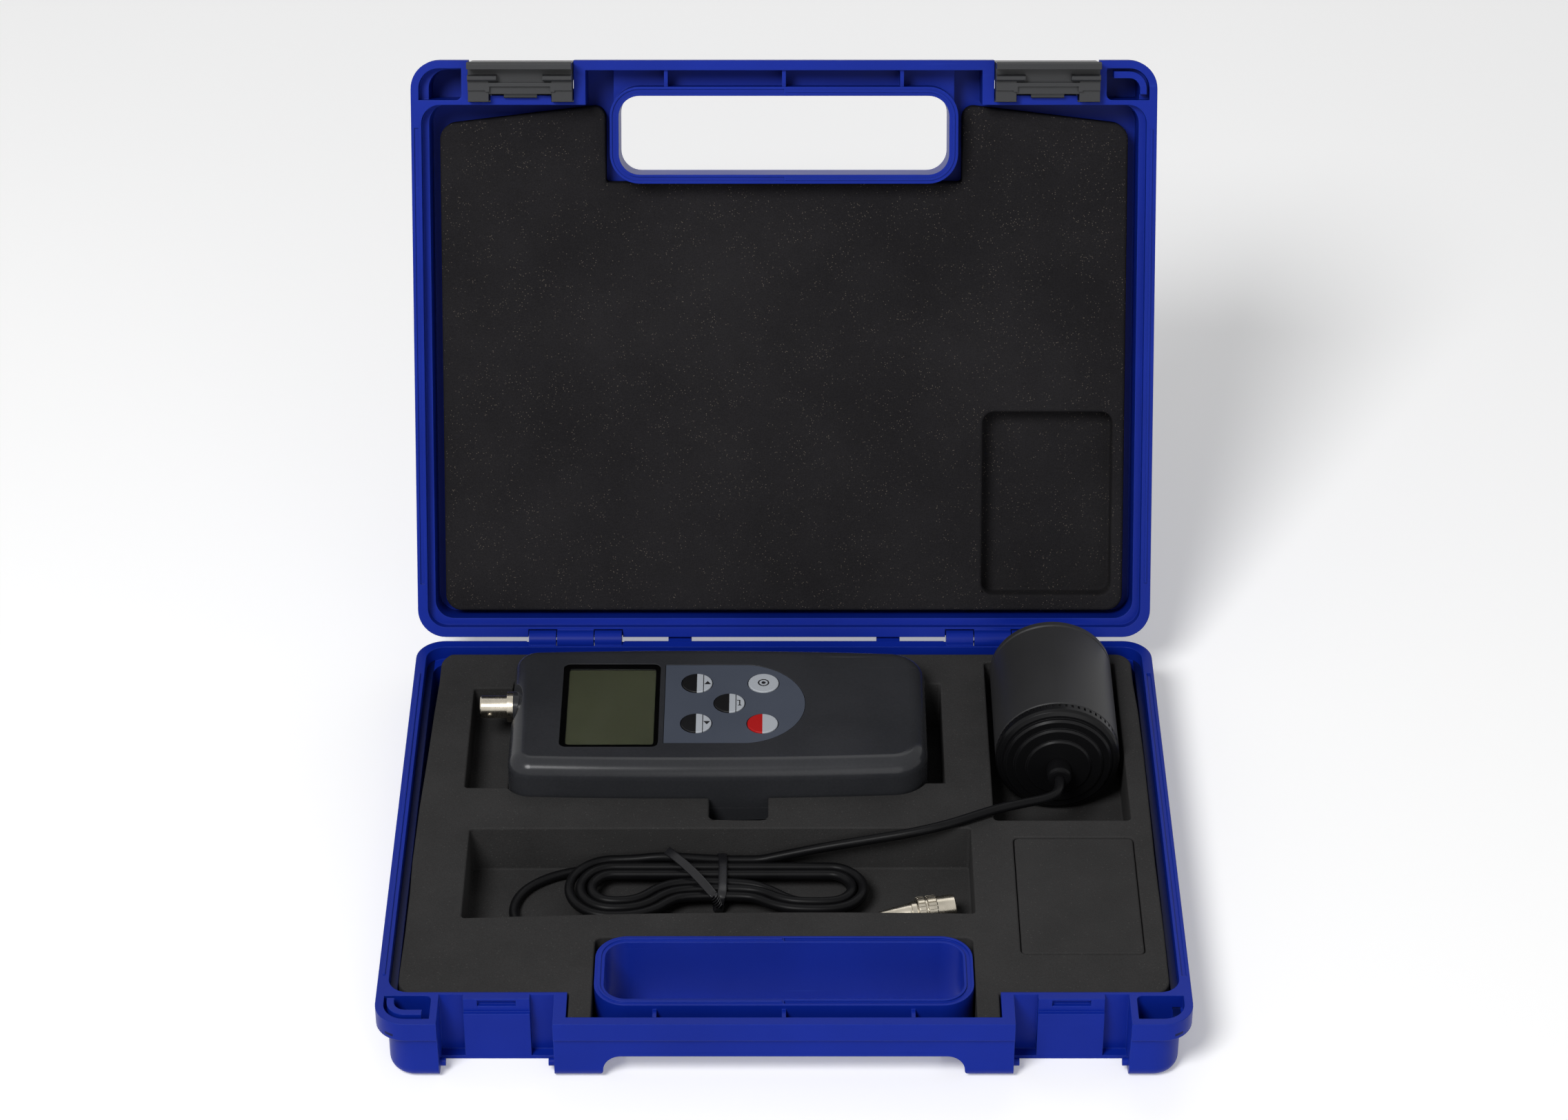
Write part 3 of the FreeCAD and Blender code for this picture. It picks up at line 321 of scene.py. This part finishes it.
def clearFinish(name, own):
    # clear pane with a faint smear in its gloss
    s = {**paneSet, **own}
    material, shader, wire, place = startFinish(name, Transmission_Weight=1.0, IOR=s["index"],
                                                Specular_IOR_Level=s["specular"], Base_Color=colour(*s["tint"]))
    smear = noise(wire, stretched(wire, place, s["smearScale"], s["smearTurn"]), 1.0, 3.0)
    feed(wire, shader, Roughness=s["rough"] + smear.step(*s["smearStep"]) * s["smearRough"])
    return material


caseBlue = {"low": (0.0030, 0.017, 0.24), "high": (0.0043, 0.021, 0.29), "wearAndHighlight": (0.03, 0.07, 0.40),
            "rough": 0.38, "grain": 0.10, "specular": 0.10, "grainScale": 2600.0, "edge": 0.0005}
finishSets = {
    "case_plastic": (mouldedFinish, caseBlue),
    # the base's blue, with painted shade on the narrow ledge between the rim and the foam
    "case_base": (mouldedFinish, {**caseBlue, "gap": {"side": (0.1506, 0.1538), "height": 0.0231, "half": 0.0006,
                                                      "tone": (0.002, 0.005, 0.03), "share": 0.85}}),
    "latch_plastic": (mouldedFinish, {"low": (0.018, 0.019, 0.0205), "high": (0.025, 0.026, 0.0285),
                                      "wearAndHighlight": (0.08, 0.08, 0.086), "rough": 0.40, "grain": 0.14, "specular": 0.26,
                                      "grainScale": 2200.0, "edge": 0.0004}),
    "meter_plastic": (mouldedFinish, {"low": (0.022, 0.023, 0.026), "high": (0.031, 0.032, 0.036),
                                      "wearAndHighlight": (0.09, 0.09, 0.10), "rough": 0.22, "grain": 0.04, "scuff": 0.25,
                                      "grainScale": 900.0, "edge": 0.0003, "edgeShare": 0.2}),
    "head_black": (mouldedFinish, {"low": (0.020, 0.020, 0.021), "high": (0.028, 0.028, 0.029),
                                   "wearAndHighlight": (0.07, 0.07, 0.072), "rough": 0.46, "grain": 0.08, "scuff": 0.2,
                                   "grainScale": 3200.0, "edge": 0.0003}),
    "cap_black": (mouldedFinish, {"low": (0.003, 0.003, 0.0034), "high": (0.005, 0.005, 0.0054),
                                  "wearAndHighlight": (0.04, 0.04, 0.044), "rough": 0.32, "grain": 0.04, "scuff": 0.2,
                                  "specular": 0.13, "grainScale": 1800.0, "edge": 0.0003}),
    "lead_rubber": (mouldedFinish, {"low": (0.0034, 0.0034, 0.0038), "high": (0.0056, 0.0056, 0.0062),
                                    "wearAndHighlight": (0.02, 0.02, 0.022), "rough": 0.36, "grain": 0.10, "scuff": 0.25,
                                    "specular": 0.075, "grainScale": 2400.0, "edge": 0.0002, "cloudScale": 60.0}),
    "tie": (mouldedFinish, {"low": (0.007, 0.007, 0.0085), "high": (0.011, 0.011, 0.0125),
                            "wearAndHighlight": (0.04, 0.04, 0.044), "rough": 0.26, "grain": 0.06, "specular": 0.25,
                            "grainScale": 1600.0, "edge": 0.0002, "cloudScale": 90.0}),
    "overlay": (mouldedFinish, {"low": (0.056, 0.066, 0.090), "high": (0.067, 0.078, 0.105),
                                "wearAndHighlight": (0.12, 0.14, 0.17), "rough": 0.34, "grain": 0.10, "scuff": 0.15,
                                "grainScale": 3600.0, "edge": 0.0001, "edgeShare": 0.1}),
    "lcd": (mouldedFinish, {"low": (0.048, 0.052, 0.028), "high": (0.058, 0.063, 0.034),
                            "wearAndHighlight": (0.06, 0.065, 0.03), "rough": 0.45, "grain": 0.03, "scuff": 0.0,
                            "grainScale": 4200.0, "edge": 0.0001, "edgeShare": 0.0}),
    "board": (mouldedFinish, {"low": (0.010, 0.060, 0.026), "high": (0.016, 0.085, 0.036),
                              "wearAndHighlight": (0.05, 0.16, 0.08), "rough": 0.34, "grain": 0.1,
                              "grainScale": 2600.0, "edge": 0.0001}),
    "cells": (mouldedFinish, {"low": (0.05, 0.055, 0.065), "high": (0.07, 0.075, 0.085),
                              "wearAndHighlight": (0.2, 0.2, 0.21), "rough": 0.3, "grain": 0.05,
                              "grainScale": 1500.0, "edge": 0.0003}),
    "insulator": (mouldedFinish, {"low": (0.66, 0.66, 0.62), "high": (0.74, 0.74, 0.70),
                                  "wearAndHighlight": (0.5, 0.5, 0.46), "rough": 0.45, "grain": 0.06,
                                  "grainScale": 1800.0, "edge": 0.0002}),
    "chip": (mouldedFinish, {"low": (0.012, 0.012, 0.014), "high": (0.018, 0.018, 0.02),
                             "wearAndHighlight": (0.06, 0.06, 0.06), "rough": 0.4, "grain": 0.1,
                             "grainScale": 3000.0, "edge": 0.0001}),
    "foam": (foamFinish, {"low": (0.026, 0.0255, 0.0255), "high": (0.045, 0.044, 0.044), "cells": 1150.0,
                          "relief": 0.35, "speck": (0.085, 0.083, 0.080), "speckScale": 520.0, "speckShare": 0.4}),
    "lid_foam": (foamFinish, {"low": (0.011, 0.0105, 0.0115), "high": (0.022, 0.021, 0.0225), "cells": 850.0,
                              "relief": 0.5, "speck": (0.17, 0.145, 0.12), "speckScale": 900.0, "speckShare": 0.75}),
    "nickel": (platedFinish, {"low": (0.36, 0.33, 0.27), "high": (0.46, 0.42, 0.35), "rough": 0.26,
                              "lines": (2600.0, 200.0, 200.0)}),
    "contact": (platedFinish, {"low": (0.62, 0.46, 0.20), "high": (0.78, 0.60, 0.30), "rough": 0.28,
                               "lines": (800.0, 800.0, 2400.0)}),
    "pin_steel": (platedFinish, {"low": (0.44, 0.44, 0.45), "high": (0.58, 0.58, 0.59), "rough": 0.3,
                                 "lines": (300.0, 2400.0, 2400.0)}),
    "window": (clearFinish, {"tint": (0.96, 0.97, 0.95), "index": 1.49}),
    "optics": (clearFinish, {"tint": (0.95, 0.97, 0.98), "index": 1.5}),
}

keyDark = (0.005, 0.005, 0.0055)
keySets = {
    "up_key": {"centre": (-0.0365, 0.0750), "mark": "up", "tint": keyDark},
    "enter_key": {"centre": (-0.0228, 0.0612), "mark": "enter", "tint": keyDark},
    "down_key": {"centre": (-0.0365, 0.0474), "mark": "down", "tint": keyDark},
    "lamp_key": {"centre": (-0.0086, 0.0750), "mark": "lamp", "tint": None},
    "power_key": {"centre": (-0.0089, 0.0472), "mark": "plain", "tint": (0.41, 0.009, 0.009)},
}
keyPrint = {
    "pale": (0.385, 0.41, 0.445),
    "palest": (0.44, 0.465, 0.50),
    "ink": (0.014, 0.014, 0.016),
    "parting": (-0.12, 0.0),      # mm from the middle, where the tinted half ends
    "specular": 0.15,
    "rough": 0.3,
    "roughSwing": 0.1,
    "grain": 0.05,
    "grainScale": 3000.0,
    "grainDepth": 0.0001,
    "edge": 0.0002,
}
signSet = {                       # mm from the key's middle; a band is its middle and its half width
    "fade": 0.12,
    "divider": (2.7, 0.12),
    "arrow": {"x": 4.4, "slope": 1.5, "tip": (1.05, 1.2), "foot": (-1.2, -1.05)},
    "returnBar": ((4.3, 0.2), (0.1, 1.5)),
    "returnHook": ((3.8, 0.6), (1.6, 0.2)),
    "returnTip": {"x": 4.3, "y": -2.0, "slope": 1.2, "tip": (0.95, 1.1), "foot": (-2.1, -2.0)},
    "ring": (2.1, 0.26),
    "dot": (0.85, 1.0),
}


def keyFinish(name, own):
    # printed key: a tinted half towards the display, a pale half, and a plain sign in ink
    s = {**keyPrint, **own}
    material, shader, wire, place = startFinish(name, Specular_IOR_Level=s["specular"])
    x, y, z = coordinates(wire, place)
    x, y = (x - s["centre"][0]) * 1000.0, (y - s["centre"][1]) * 1000.0   # metres to millimetres
    grain = noise(wire, place, s["grainScale"], 2.0)
    body = grain.blend(colour(*s["pale"]), colour(*s["palest"]))
    if s["tint"]:
        body = (1 - x.step(*s["parting"])).blend(body, colour(*s["tint"]))
    ink = keySign(s["mark"], x, y, signSet)
    if ink is not None:
        body = ink.blend(body, colour(*s["ink"]))
    feed(wire, shader, Base_Color=body, Roughness=s["rough"] + grain * s["roughSwing"],
         Normal=bump(wire, grain, s["grain"], s["grainDepth"], softNormal(wire, s["edge"])))
    return material


def keySign(mark, x, y, s):
    # signs are read from the tail end of the meter: along -x is up the page
    if mark in ("up", "down"):
        arrow = s["arrow"]
        along = y * (1 if mark == "up" else -1)
        outside = (along + abs(x - arrow["x"]) * arrow["slope"]).step(*arrow["tip"])
        return ((1 - outside) * along.step(*arrow["foot"])).most(bandMask(x, s["divider"]))
    if mark == "enter":
        tip = s["returnTip"]
        outside = (abs(x - tip["x"]) * tip["slope"] + (y - tip["y"])).step(*tip["tip"])
        sign = (1 - outside) * y.step(*tip["foot"])
        for across, along in (s["returnBar"], s["returnHook"]):
            sign = sign.most(bandMask(x, across) * bandMask(y, along))
        return sign.most(bandMask(x, s["divider"]))
    if mark == "lamp":
        square = x * x + y * y
        far = square.reckon("SQRT", square)
        return bandMask(far, s["ring"]).most(1 - far.step(*s["dot"]))
    return None


def bandMask(value, band):
    # 1 where the value is within the half width of the middle
    middle, half = band
    return 1 - abs(value - middle).step(half, half + signSet["fade"])


finishes = {slot: make(slot, s) for slot, (make, s) in finishSets.items()}
keyFinishes = {key: keyFinish(key, s) for key, s in keySets.items()}
print("finishes made:", len(finishes) + len(keyFinishes))


def dressNode(node, material):
    mesh = nodes[node].data
    mesh.materials.clear()
    mesh.materials.append(material)


slotOf = {part["node"]: part["material_slot"] for part in frame["record"]["subparts"]}
ownFinish = {"base_shell": finishes["case_base"], **keyFinishes}
for node in nodes:
    dressNode(node, ownFinish[node] if node in ownFinish else finishes[slotOf[node]])
print("nodes dressed:", len(nodes))


def addPiece(name, mesh, slot, body, *replaced):
    piece = bpy.data.objects.new(name, mesh)
    scene.collection.objects.link(piece)
    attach(piece, body)
    if replaced:
        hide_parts(*replaced)
    return piece


# lead: one smooth line from the head's boot, through the loops of the hank, to the plug

leadSet = {
    "diameter": 0.004,
    "length": 1.482,
    "free": [
        (0.1138, 0.0270, 0.0296), (0.1138, 0.0188, 0.0296), (0.1080, 0.0132, 0.0302), (0.0980, 0.0094, 0.0310),
        (0.0855, 0.0046, 0.0314), (0.0680, -0.0044, 0.0312), (0.0520, -0.0073, 0.0288), (0.0360, -0.0075, 0.0256),
        (0.0140, -0.0078, 0.0212), (-0.0030, -0.0076, 0.0166), (-0.0095, -0.0076, 0.0148), (-0.0160, -0.0076, 0.0148),
    ],
    "tail": [
        (-0.0664, -0.0076, 0.0102), (-0.0785, -0.0076, 0.0102), (-0.0950, -0.0114, 0.0096),
        (-0.1070, -0.0210, 0.0093), (-0.1104, -0.0350, 0.0093), (-0.1040, -0.0474, 0.0093),
        (-0.0890, -0.0534, 0.0093), (-0.0660, -0.0539, 0.0093), (-0.0360, -0.0532, 0.0093),
        (-0.0100, -0.0538, 0.0093), (0.0080, -0.0534, 0.0094), (0.0206, -0.0498, 0.0115),
    ],
    "plug": (0.0385, -0.0430, 0.0140),
    "plugTurn": 11.0,       # degrees
    "plugRun": 0.009,       # straight stretch before the plug
    "roundness": 4,
    "steps": 6,
}
hankSet = {
    "middle": -0.0282,
    "rows": (0.0206, 0.0160, 0.0114),   # each row's distance from the middle
    "ends": (-0.0664, 0.0100),
    "low": 0.0102,
    "high": 0.0148,
    "passes": ((0, "high", 1, "high"), (1, "high", 2, "high"), (2, "high", 1, "low"), (1, "low", 0, "low")),
    "start": -0.0240,             # where the lead comes in from the head
    "shy": 0.0040,                # of the right fold, where a back strand starts
    "draw": 0.0182,               # in to the waist under the tie
    "ease": 0.0296,
    "gather": (0.0060, 0.0084),   # how far the front strands lie nearer the back ones, left and right of the tie
    "reach": (0.0030, 0.0080),    # how far the folds lie beyond the ends
    "rise": 0.0014,               # of the front strands right of the tie
    "riseAlong": (-0.0220, 0.0100),
    "riseAcross": (-0.0110, 0.0030),
    "spring": 0.0020,             # rise of the hindmost top strand left of the tie
    "springMiddle": -0.0470,
    "springHalf": 0.0190,
    "springRow": 0.0190,
    "springAbove": 0.0125,
}
eighth = math.radians(45)         # of a turn


def endTurn(x, fromY, toY, z, way):
    # half circle: control points every eighth of a turn, at the radius over the cosine of half an eighth
    angle = eighth * (np.arange(4) + 0.5)
    middle = (fromY + toY) / 2
    reach = (fromY - toY) / 2 / math.cos(eighth / 2)
    across = x + way * abs(reach) * np.sin(angle)
    return np.column_stack([across, middle + reach * np.cos(angle), np.full(4, z)])


def waistEase(h, row, gather):
    # from a front strand in to the waist: two arcs about centres that all rows share, two control points each
    draw, ease = h["draw"] - gather, h["ease"]
    total = (ease ** 2 + draw ** 2) / (2 * draw)      # both radii together
    first = total / 2 + row - h["rows"][1]
    second = total - first
    turn = 2 * math.atan2(draw, ease)
    angle = turn * np.array([0.25, 0.75])
    over, along = np.cos(angle) / math.cos(turn / 4), np.sin(angle) / math.cos(turn / 4)
    y = h["middle"] - row + gather
    outer = np.column_stack([first * along, y + first * (1 - over)])
    inner = np.column_stack([ease - second * along, y + draw - second * (1 - over)])[::-1]
    return np.vstack([outer, inner])


def frontRun(h, row, zFrom, zTo):
    # in to the waist and out again, its height changing on the way out
    (x0, x1), (left, right) = h["ends"], h["gather"]
    into, out = waistEase(h, row, left), waistEase(h, row, right)
    enter = np.column_stack([x0 + into[:, 0], into[:, 1], np.full(4, zFrom)])
    height = zFrom + (zTo - zFrom) * (1 - out[:, 0] / h["ease"])
    leave = np.column_stack([x1 - out[:, 0], out[:, 1], height])[::-1]
    return np.vstack([enter, leave])


def backRun(h, row, z, fromX):
    # straight run, its last point as far before the left fold as the fold's first one lies past it
    x0 = h["ends"][0] - h["reach"][0]
    before = (row - h["gather"][0] / 2) * math.tan(eighth / 2)
    xs = np.linspace(fromX, x0 + before, 4)
    return np.column_stack([xs, np.full(4, h["middle"] + row), np.full(4, z)])


def hankPoints(h):
    # in on the top layer, down along the last front run, out again below
    x0, x1 = h["ends"][0] - h["reach"][0], h["ends"][1] + h["reach"][1]
    mid, rows = h["middle"], h["rows"]
    left, right = mid + h["gather"][0], mid + h["gather"][1]
    points = [backRun(h, rows[0], h["high"], h["start"])]
    for i, level, j, nextLevel in h["passes"]:
        row, nextRow, z, nextZ = rows[i], rows[j], h[level], h[nextLevel]
        points.append(endTurn(x0, mid + row, left - row, z, -1))
        points.append(frontRun(h, row, z, nextZ))
        points.append(endTurn(x1, right - row, mid + nextRow, nextZ, 1))
        points.append(backRun(h, nextRow, nextZ, x1 - h["shy"]))
    return np.vstack(points)


def smooth(value, low, high):
    # 0 below low, 1 above high, eased between
    share = np.clip((value - low) / (high - low), 0, 1)
    return share * share * (3 - 2 * share)


def settle(points, h):
    # loose strands: right of the tie the front ones rise, left of it the hindmost springs up
    x, y, z = points.T
    back = y - h["middle"]
    front = smooth(x, *h["riseAlong"]) * smooth(-back, *h["riseAcross"])
    top = (back > h["springRow"]) & (z > h["springAbove"])
    hump = np.cos(np.clip((x - h["springMiddle"]) / h["springHalf"], -1, 1) * math.pi / 2) ** 2 * top
    return np.column_stack([x, y, z + h["rise"] * front + h["spring"] * hump])


def leadPoints(s, h):
    turn = math.radians(s["plugTurn"])
    plug = np.array(s["plug"])
    before = plug - s["plugRun"] * np.array([math.cos(turn), math.sin(turn), 0])
    return np.vstack([s["free"], settle(hankPoints(h), h), s["tail"], [before, plug]])


tieSet = {
    "centre": (-0.0260, -0.0191, 0.0125),
    "half": (0.0143, 0.0051),        # of the loop, across and up
    "squareness": (0.35, 0.5),       # powers of cosine and sine
    "lean": 0.0012,
    "width": 0.0036,
    "thick": 0.0009,
    "lips": (0.4, 0.7),              # powers that round the section
    "sides": 16,
    "loopSteps": 96,
    "twistSteps": 28,
    "endSteps": 25,
    "twist": ((-0.0262, -0.0338, 0.0128), (-0.0285, -0.0338, 0.0186)),
    "end": (-0.0476, -0.0068, 0.0192),
    "bow": 0.0016,
    "flat": (0.551, 0.350, 0.421),   # across the loose end, so that its broad face looks up and forward
    "flatFrom": (18, 38),            # steps between which the loose end turns flat
    "turns": 1.25,
    "crossTurn": 1.5,                # radians between the two strands of the twist
    "sharp": 50.0,                   # degrees
}


def signedPower(value, power):
    return np.sign(value) * np.abs(value) ** power


def bandRings(path, across, s, closed):
    # a flat section with rounded lips, set at each path point on the width direction and the surface normal
    ahead = np.roll(path, -1, 0) - np.roll(path, 1, 0)
    if not closed:
        ahead[0], ahead[-1] = path[1] - path[0], path[-1] - path[-2]
    ahead /= np.linalg.norm(ahead, axis=1)[:, None]
    across = across - ahead * (across * ahead).sum(1)[:, None]
    across /= np.linalg.norm(across, axis=1)[:, None]
    up = np.cross(ahead, across)
    angle = np.arange(s["sides"]) * 2 * math.pi / s["sides"]
    u = s["width"] / 2 * signedPower(np.cos(angle), s["lips"][0])
    v = s["thick"] / 2 * signedPower(np.sin(angle), s["lips"][1])
    return path[:, None] + across[:, None] * u[None, :, None] + up[:, None] * v[None, :, None]


def ringFaces(count, sides, closed, start):
    # four-sided faces from each ring to the next, and a cap on each open end
    i = np.arange(count if closed else count - 1)[:, None]
    j = np.arange(sides)[None, :]
    near, far = i * sides, ((i + 1) % count) * sides
    turn = (j + 1) % sides
    faces = (np.stack([near + j, near + turn, far + turn, far + j], 2).reshape(-1, 4) + start).tolist()
    if not closed:
        faces.append([start + k for k in range(sides)][::-1])
        faces.append([start + (count - 1) * sides + k for k in range(sides)])
    return faces


def spun(turn):
    # level directions at these angles
    return np.cos(turn) * np.array([1.0, 0, 0]) + np.sin(turn) * np.array([0, 1.0, 0])


def tiePaths(s):
    # round the bundle once: a loop of two unlike powers of sine and cosine, then the twist and the loose end
    cx, cy, cz = s["centre"]
    angle = np.linspace(0, 2 * math.pi, s["loopSteps"], endpoint=False)
    loop = np.column_stack([
        cx + s["lean"] * np.sin(angle),
        cy + s["half"][0] * signedPower(np.cos(angle), s["squareness"][0]),
        cz + s["half"][1] * signedPower(np.sin(angle), s["squareness"][1]),
    ])
    low, high = np.array(s["twist"])
    t = np.linspace(0, 1, s["twistSteps"])[:, None]
    twist = low + (high - low) * t
    turn = 2 * math.pi * s["turns"] * t
    spin = spun(turn)
    e = np.linspace(0, 1, s["endSteps"] + 1)[1:, None]
    end = high + (np.array(s["end"]) - high) * e + np.array([0, 0, s["bow"]]) * np.sin(math.pi * e)
    tail = np.vstack([twist, end])
    facing = np.vstack([spin, np.repeat(spin[-1:], len(end), 0)])
    share = smooth(np.arange(len(tail)), *s["flatFrom"])[:, None]
    facing = facing * (1 - share) + np.array(s["flat"]) * share
    level = np.tile([1.0, 0, 0], (len(loop), 1))
    return [(loop, level, True), (tail, facing, False), (twist, spun(turn + s["crossTurn"]), False)]


def addTie(s):
    spots, faces = [], []
    for path, across, closed in tiePaths(s):
        rings = bandRings(path, across, s, closed)
        faces += ringFaces(len(path), s["sides"], closed, sum(len(ring) for ring in spots))
        spots.append(rings.reshape(-1, 3))
    mesh = bpy.data.meshes.new("tie")
    mesh.from_pydata(np.vstack(spots).tolist(), [], faces)
    mesh.shade_smooth()
    mesh.set_sharp_from_angle(angle=math.radians(s["sharp"]))
    mesh.materials.append(finishes["tie"])
    print("tie:", len(faces), "faces")
    return addPiece("tie", mesh, "tie", "sensor_head", "hank_tie")


def addLead(s, h, tie):
    line = bpy.data.curves.new("lead", "CURVE")
    line.dimensions = "3D"
    line.bevel_depth = s["diameter"] / 2
    line.bevel_resolution = s["roundness"]
    line.resolution_u = s["steps"]
    line.use_fill_caps = True
    points = leadPoints(s, h)
    spline = line.splines.new("NURBS")
    spline.points.add(len(points) - 1)
    spline.points.foreach_set("co", np.column_stack([points, np.ones(len(points))]).ravel())
    spline.order_u = 3
    spline.use_endpoint_u = True
    spline.use_smooth = True
    line.materials.append(finishes["lead_rubber"])
    lead = addPiece("lead", line, "lead_rubber", "sensor_head", "lead_free", "lead_hank", "lead_tail")
    print("lead:", len(points), "points")


addCamera(cameraSet)
addLead(leadSet, hankSet, addTie(tieSet))


# foam: a merged copy of each cut block with soft lips

foamSet = {
    "base_foam": {"name": "cut_foam", "body": "case_base", "finish": "foam", "lip": 0.0007,
                  # how far the hand-trimmed sides fall short, by place along the case: (y, left, right)
                  "trim": ((-0.090, 0.0004, 0.0004), (-0.070, 0.0008, 0.0003), (-0.045, 0.0009, 0.0005),
                           (-0.025, 0.0005, 0.0007), (0.010, 0.0009, 0.0005), (0.045, 0.0020, 0.0004),
                           (0.075, 0.0027, 0.0007), (0.095, 0.0034, 0.0015)),
                  "trimFrom": (0.1400, 0.1500)},
    "foam_plug": {"name": "foam_block", "body": "case_base", "finish": "foam", "lip": 0.0007},
    "lid_foam": {"name": "lid_sheet", "body": "lid", "finish": "lid_foam", "lip": 0.0012},
}
foamCut = {"weld": 1e-6, "flat": 0.5, "sharp": 32.0, "lipFrom": 40.0, "lipSteps": 3}   # angles in degrees


def cutStrips(shape, places):
    # the block cut across at each place, so that its sides can bend there
    for y in places:
        geometry = shape.verts[:] + shape.edges[:] + shape.faces[:]
        bmesh.ops.bisect_plane(shape, geom=geometry, dist=foamCut["weld"], plane_co=(0, y, 0), plane_no=(0, 1, 0))


def drawIn(mesh, trim, limits):
    # each side moved in by the trim at its place along the case, from nothing at the first limit to all at the second
    place, left, right = np.array(trim).T
    spots = np.empty(len(mesh.vertices) * 3)
    mesh.vertices.foreach_get("co", spots)
    x, y, z = spots.reshape(-1, 3).T
    short = np.where(x < 0, np.interp(y, place, left), np.interp(y, place, right))
    x -= np.copysign(short * smooth(np.abs(x), *limits), x)
    mesh.vertices.foreach_set("co", spots)


def addFoam(node, s):
    mesh = nodes[node].data.copy()
    mesh.name = s["name"]
    shape = bmesh.new()
    shape.from_mesh(mesh)
    bmesh.ops.remove_doubles(shape, verts=shape.verts, dist=foamCut["weld"])
    bmesh.ops.dissolve_limit(shape, angle_limit=math.radians(foamCut["flat"]), verts=shape.verts, edges=shape.edges)
    if "trim" in s:
        cutStrips(shape, [y for y, left, right in s["trim"]])
    shape.to_mesh(mesh)
    shape.free()
    if "trim" in s:
        drawIn(mesh, s["trim"], s["trimFrom"])
    if "custom_normal" in mesh.attributes:
        mesh.attributes.remove(mesh.attributes["custom_normal"])
    mesh.set_sharp_from_angle(angle=math.radians(foamCut["sharp"]))
    mesh.materials.clear()
    mesh.materials.append(finishes[s["finish"]])
    piece = addPiece(s["name"], mesh, "foam", s["body"], node)
    lip = piece.modifiers.new("lip", "BEVEL")
    lip.width = s["lip"]
    lip.segments = foamCut["lipSteps"]
    lip.limit_method = "ANGLE"
    lip.angle_limit = math.radians(foamCut["lipFrom"])
    lip.use_clamp_overlap = False
    print("foam:", s["name"], len(mesh.polygons), "faces")


for node, s in foamSet.items():
    addFoam(node, s)


# floor, lamps and world

stageSet = {
    "floorHalf": 4.0,
    "floorColor": (0.95, 0.95, 0.95, 1),
    "floorRough": 0.9,
    "floorSpecular": 0.1,
    "floorLift": 0.22,       # added to the floor for the eye and in reflections, not as light
    "worldColor": (1, 1, 1, 1),
    "worldFill": 0.2,        # strength of the world as light
    "key": {"place": (-0.7, -1.25, 1.75), "aim": (0, 0.05, 0.08), "size": 0.8, "power": 36.0},
    "fill": {"place": (0.6, -2.0, 0.7), "aim": (0, 0.05, 0.08), "size": 1.6, "power": 8.0},
    "back": {"place": (0.2, 1.5, 1.6), "aim": (0, 0.1, 0.1), "size": 1.4, "power": 6.0},
}


def addLamp(name, s):
    # a round soft lamp, tilted from straight down and turned towards its aim
    lamp = bpy.data.lights.new(name, "AREA")
    lamp.shape = "DISK"
    lamp.size = s["size"]
    lamp.energy = s["power"]
    holder = bpy.data.objects.new(name, lamp)
    holder.location = s["place"]
    way = np.array(s["aim"]) - np.array(s["place"])
    level = math.hypot(way[0], way[1])
    holder.rotation_euler = (math.atan2(level, -way[2]), 0, math.atan2(way[1], way[0]) - math.pi / 2)
    scene.collection.objects.link(holder)


def seenMask(wire):
    # 1 for what the eye sees, straight, mirrored or through glass, and 0 for light on its way to a surface
    outs = wire.add("LightPath").socket.node.outputs
    kinds = ("Is Camera Ray", "Is Glossy Ray", "Is Transmission Ray")
    straight, mirrored, through = [Wire(wire.tree, outs[kind]) for kind in kinds]
    return straight.most(mirrored).most(through)


def addFloor(s):
    half = s["floorHalf"]
    mesh = bpy.data.meshes.new("floor")
    mesh.from_pydata([(-half, -half, 0), (half, -half, 0), (half, half, 0), (-half, half, 0)], [], [(0, 1, 2, 3)])
    floor = bpy.data.objects.new("floor", mesh)
    scene.collection.objects.link(floor)
    material, shader, wire, place = startFinish("floor", Base_Color=s["floorColor"], Roughness=s["floorRough"],
                                                Specular_IOR_Level=s["floorSpecular"],
                                                Emission_Strength=s["floorLift"])
    feed(wire, shader, Emission_Color=seenMask(wire))
    mesh.materials.append(material)


def addWorld(s):
    # white to the eye, weaker as light
    world = bpy.data.worlds.new("world")
    world.use_nodes = True
    scene.world = world
    wire = Wire(world.node_tree)
    sky = world.node_tree.nodes["Background"]
    sky.inputs["Color"].default_value = s["worldColor"]
    feed(wire, sky, Strength=seenMask(wire) * (1 - s["worldFill"]) + s["worldFill"])


addFloor(stageSet)
for name in ("key", "fill", "back"):
    addLamp(name, stageSet[name])
addWorld(stageSet)
print("stage set")
scene.view_settings.view_transform = "Standard"
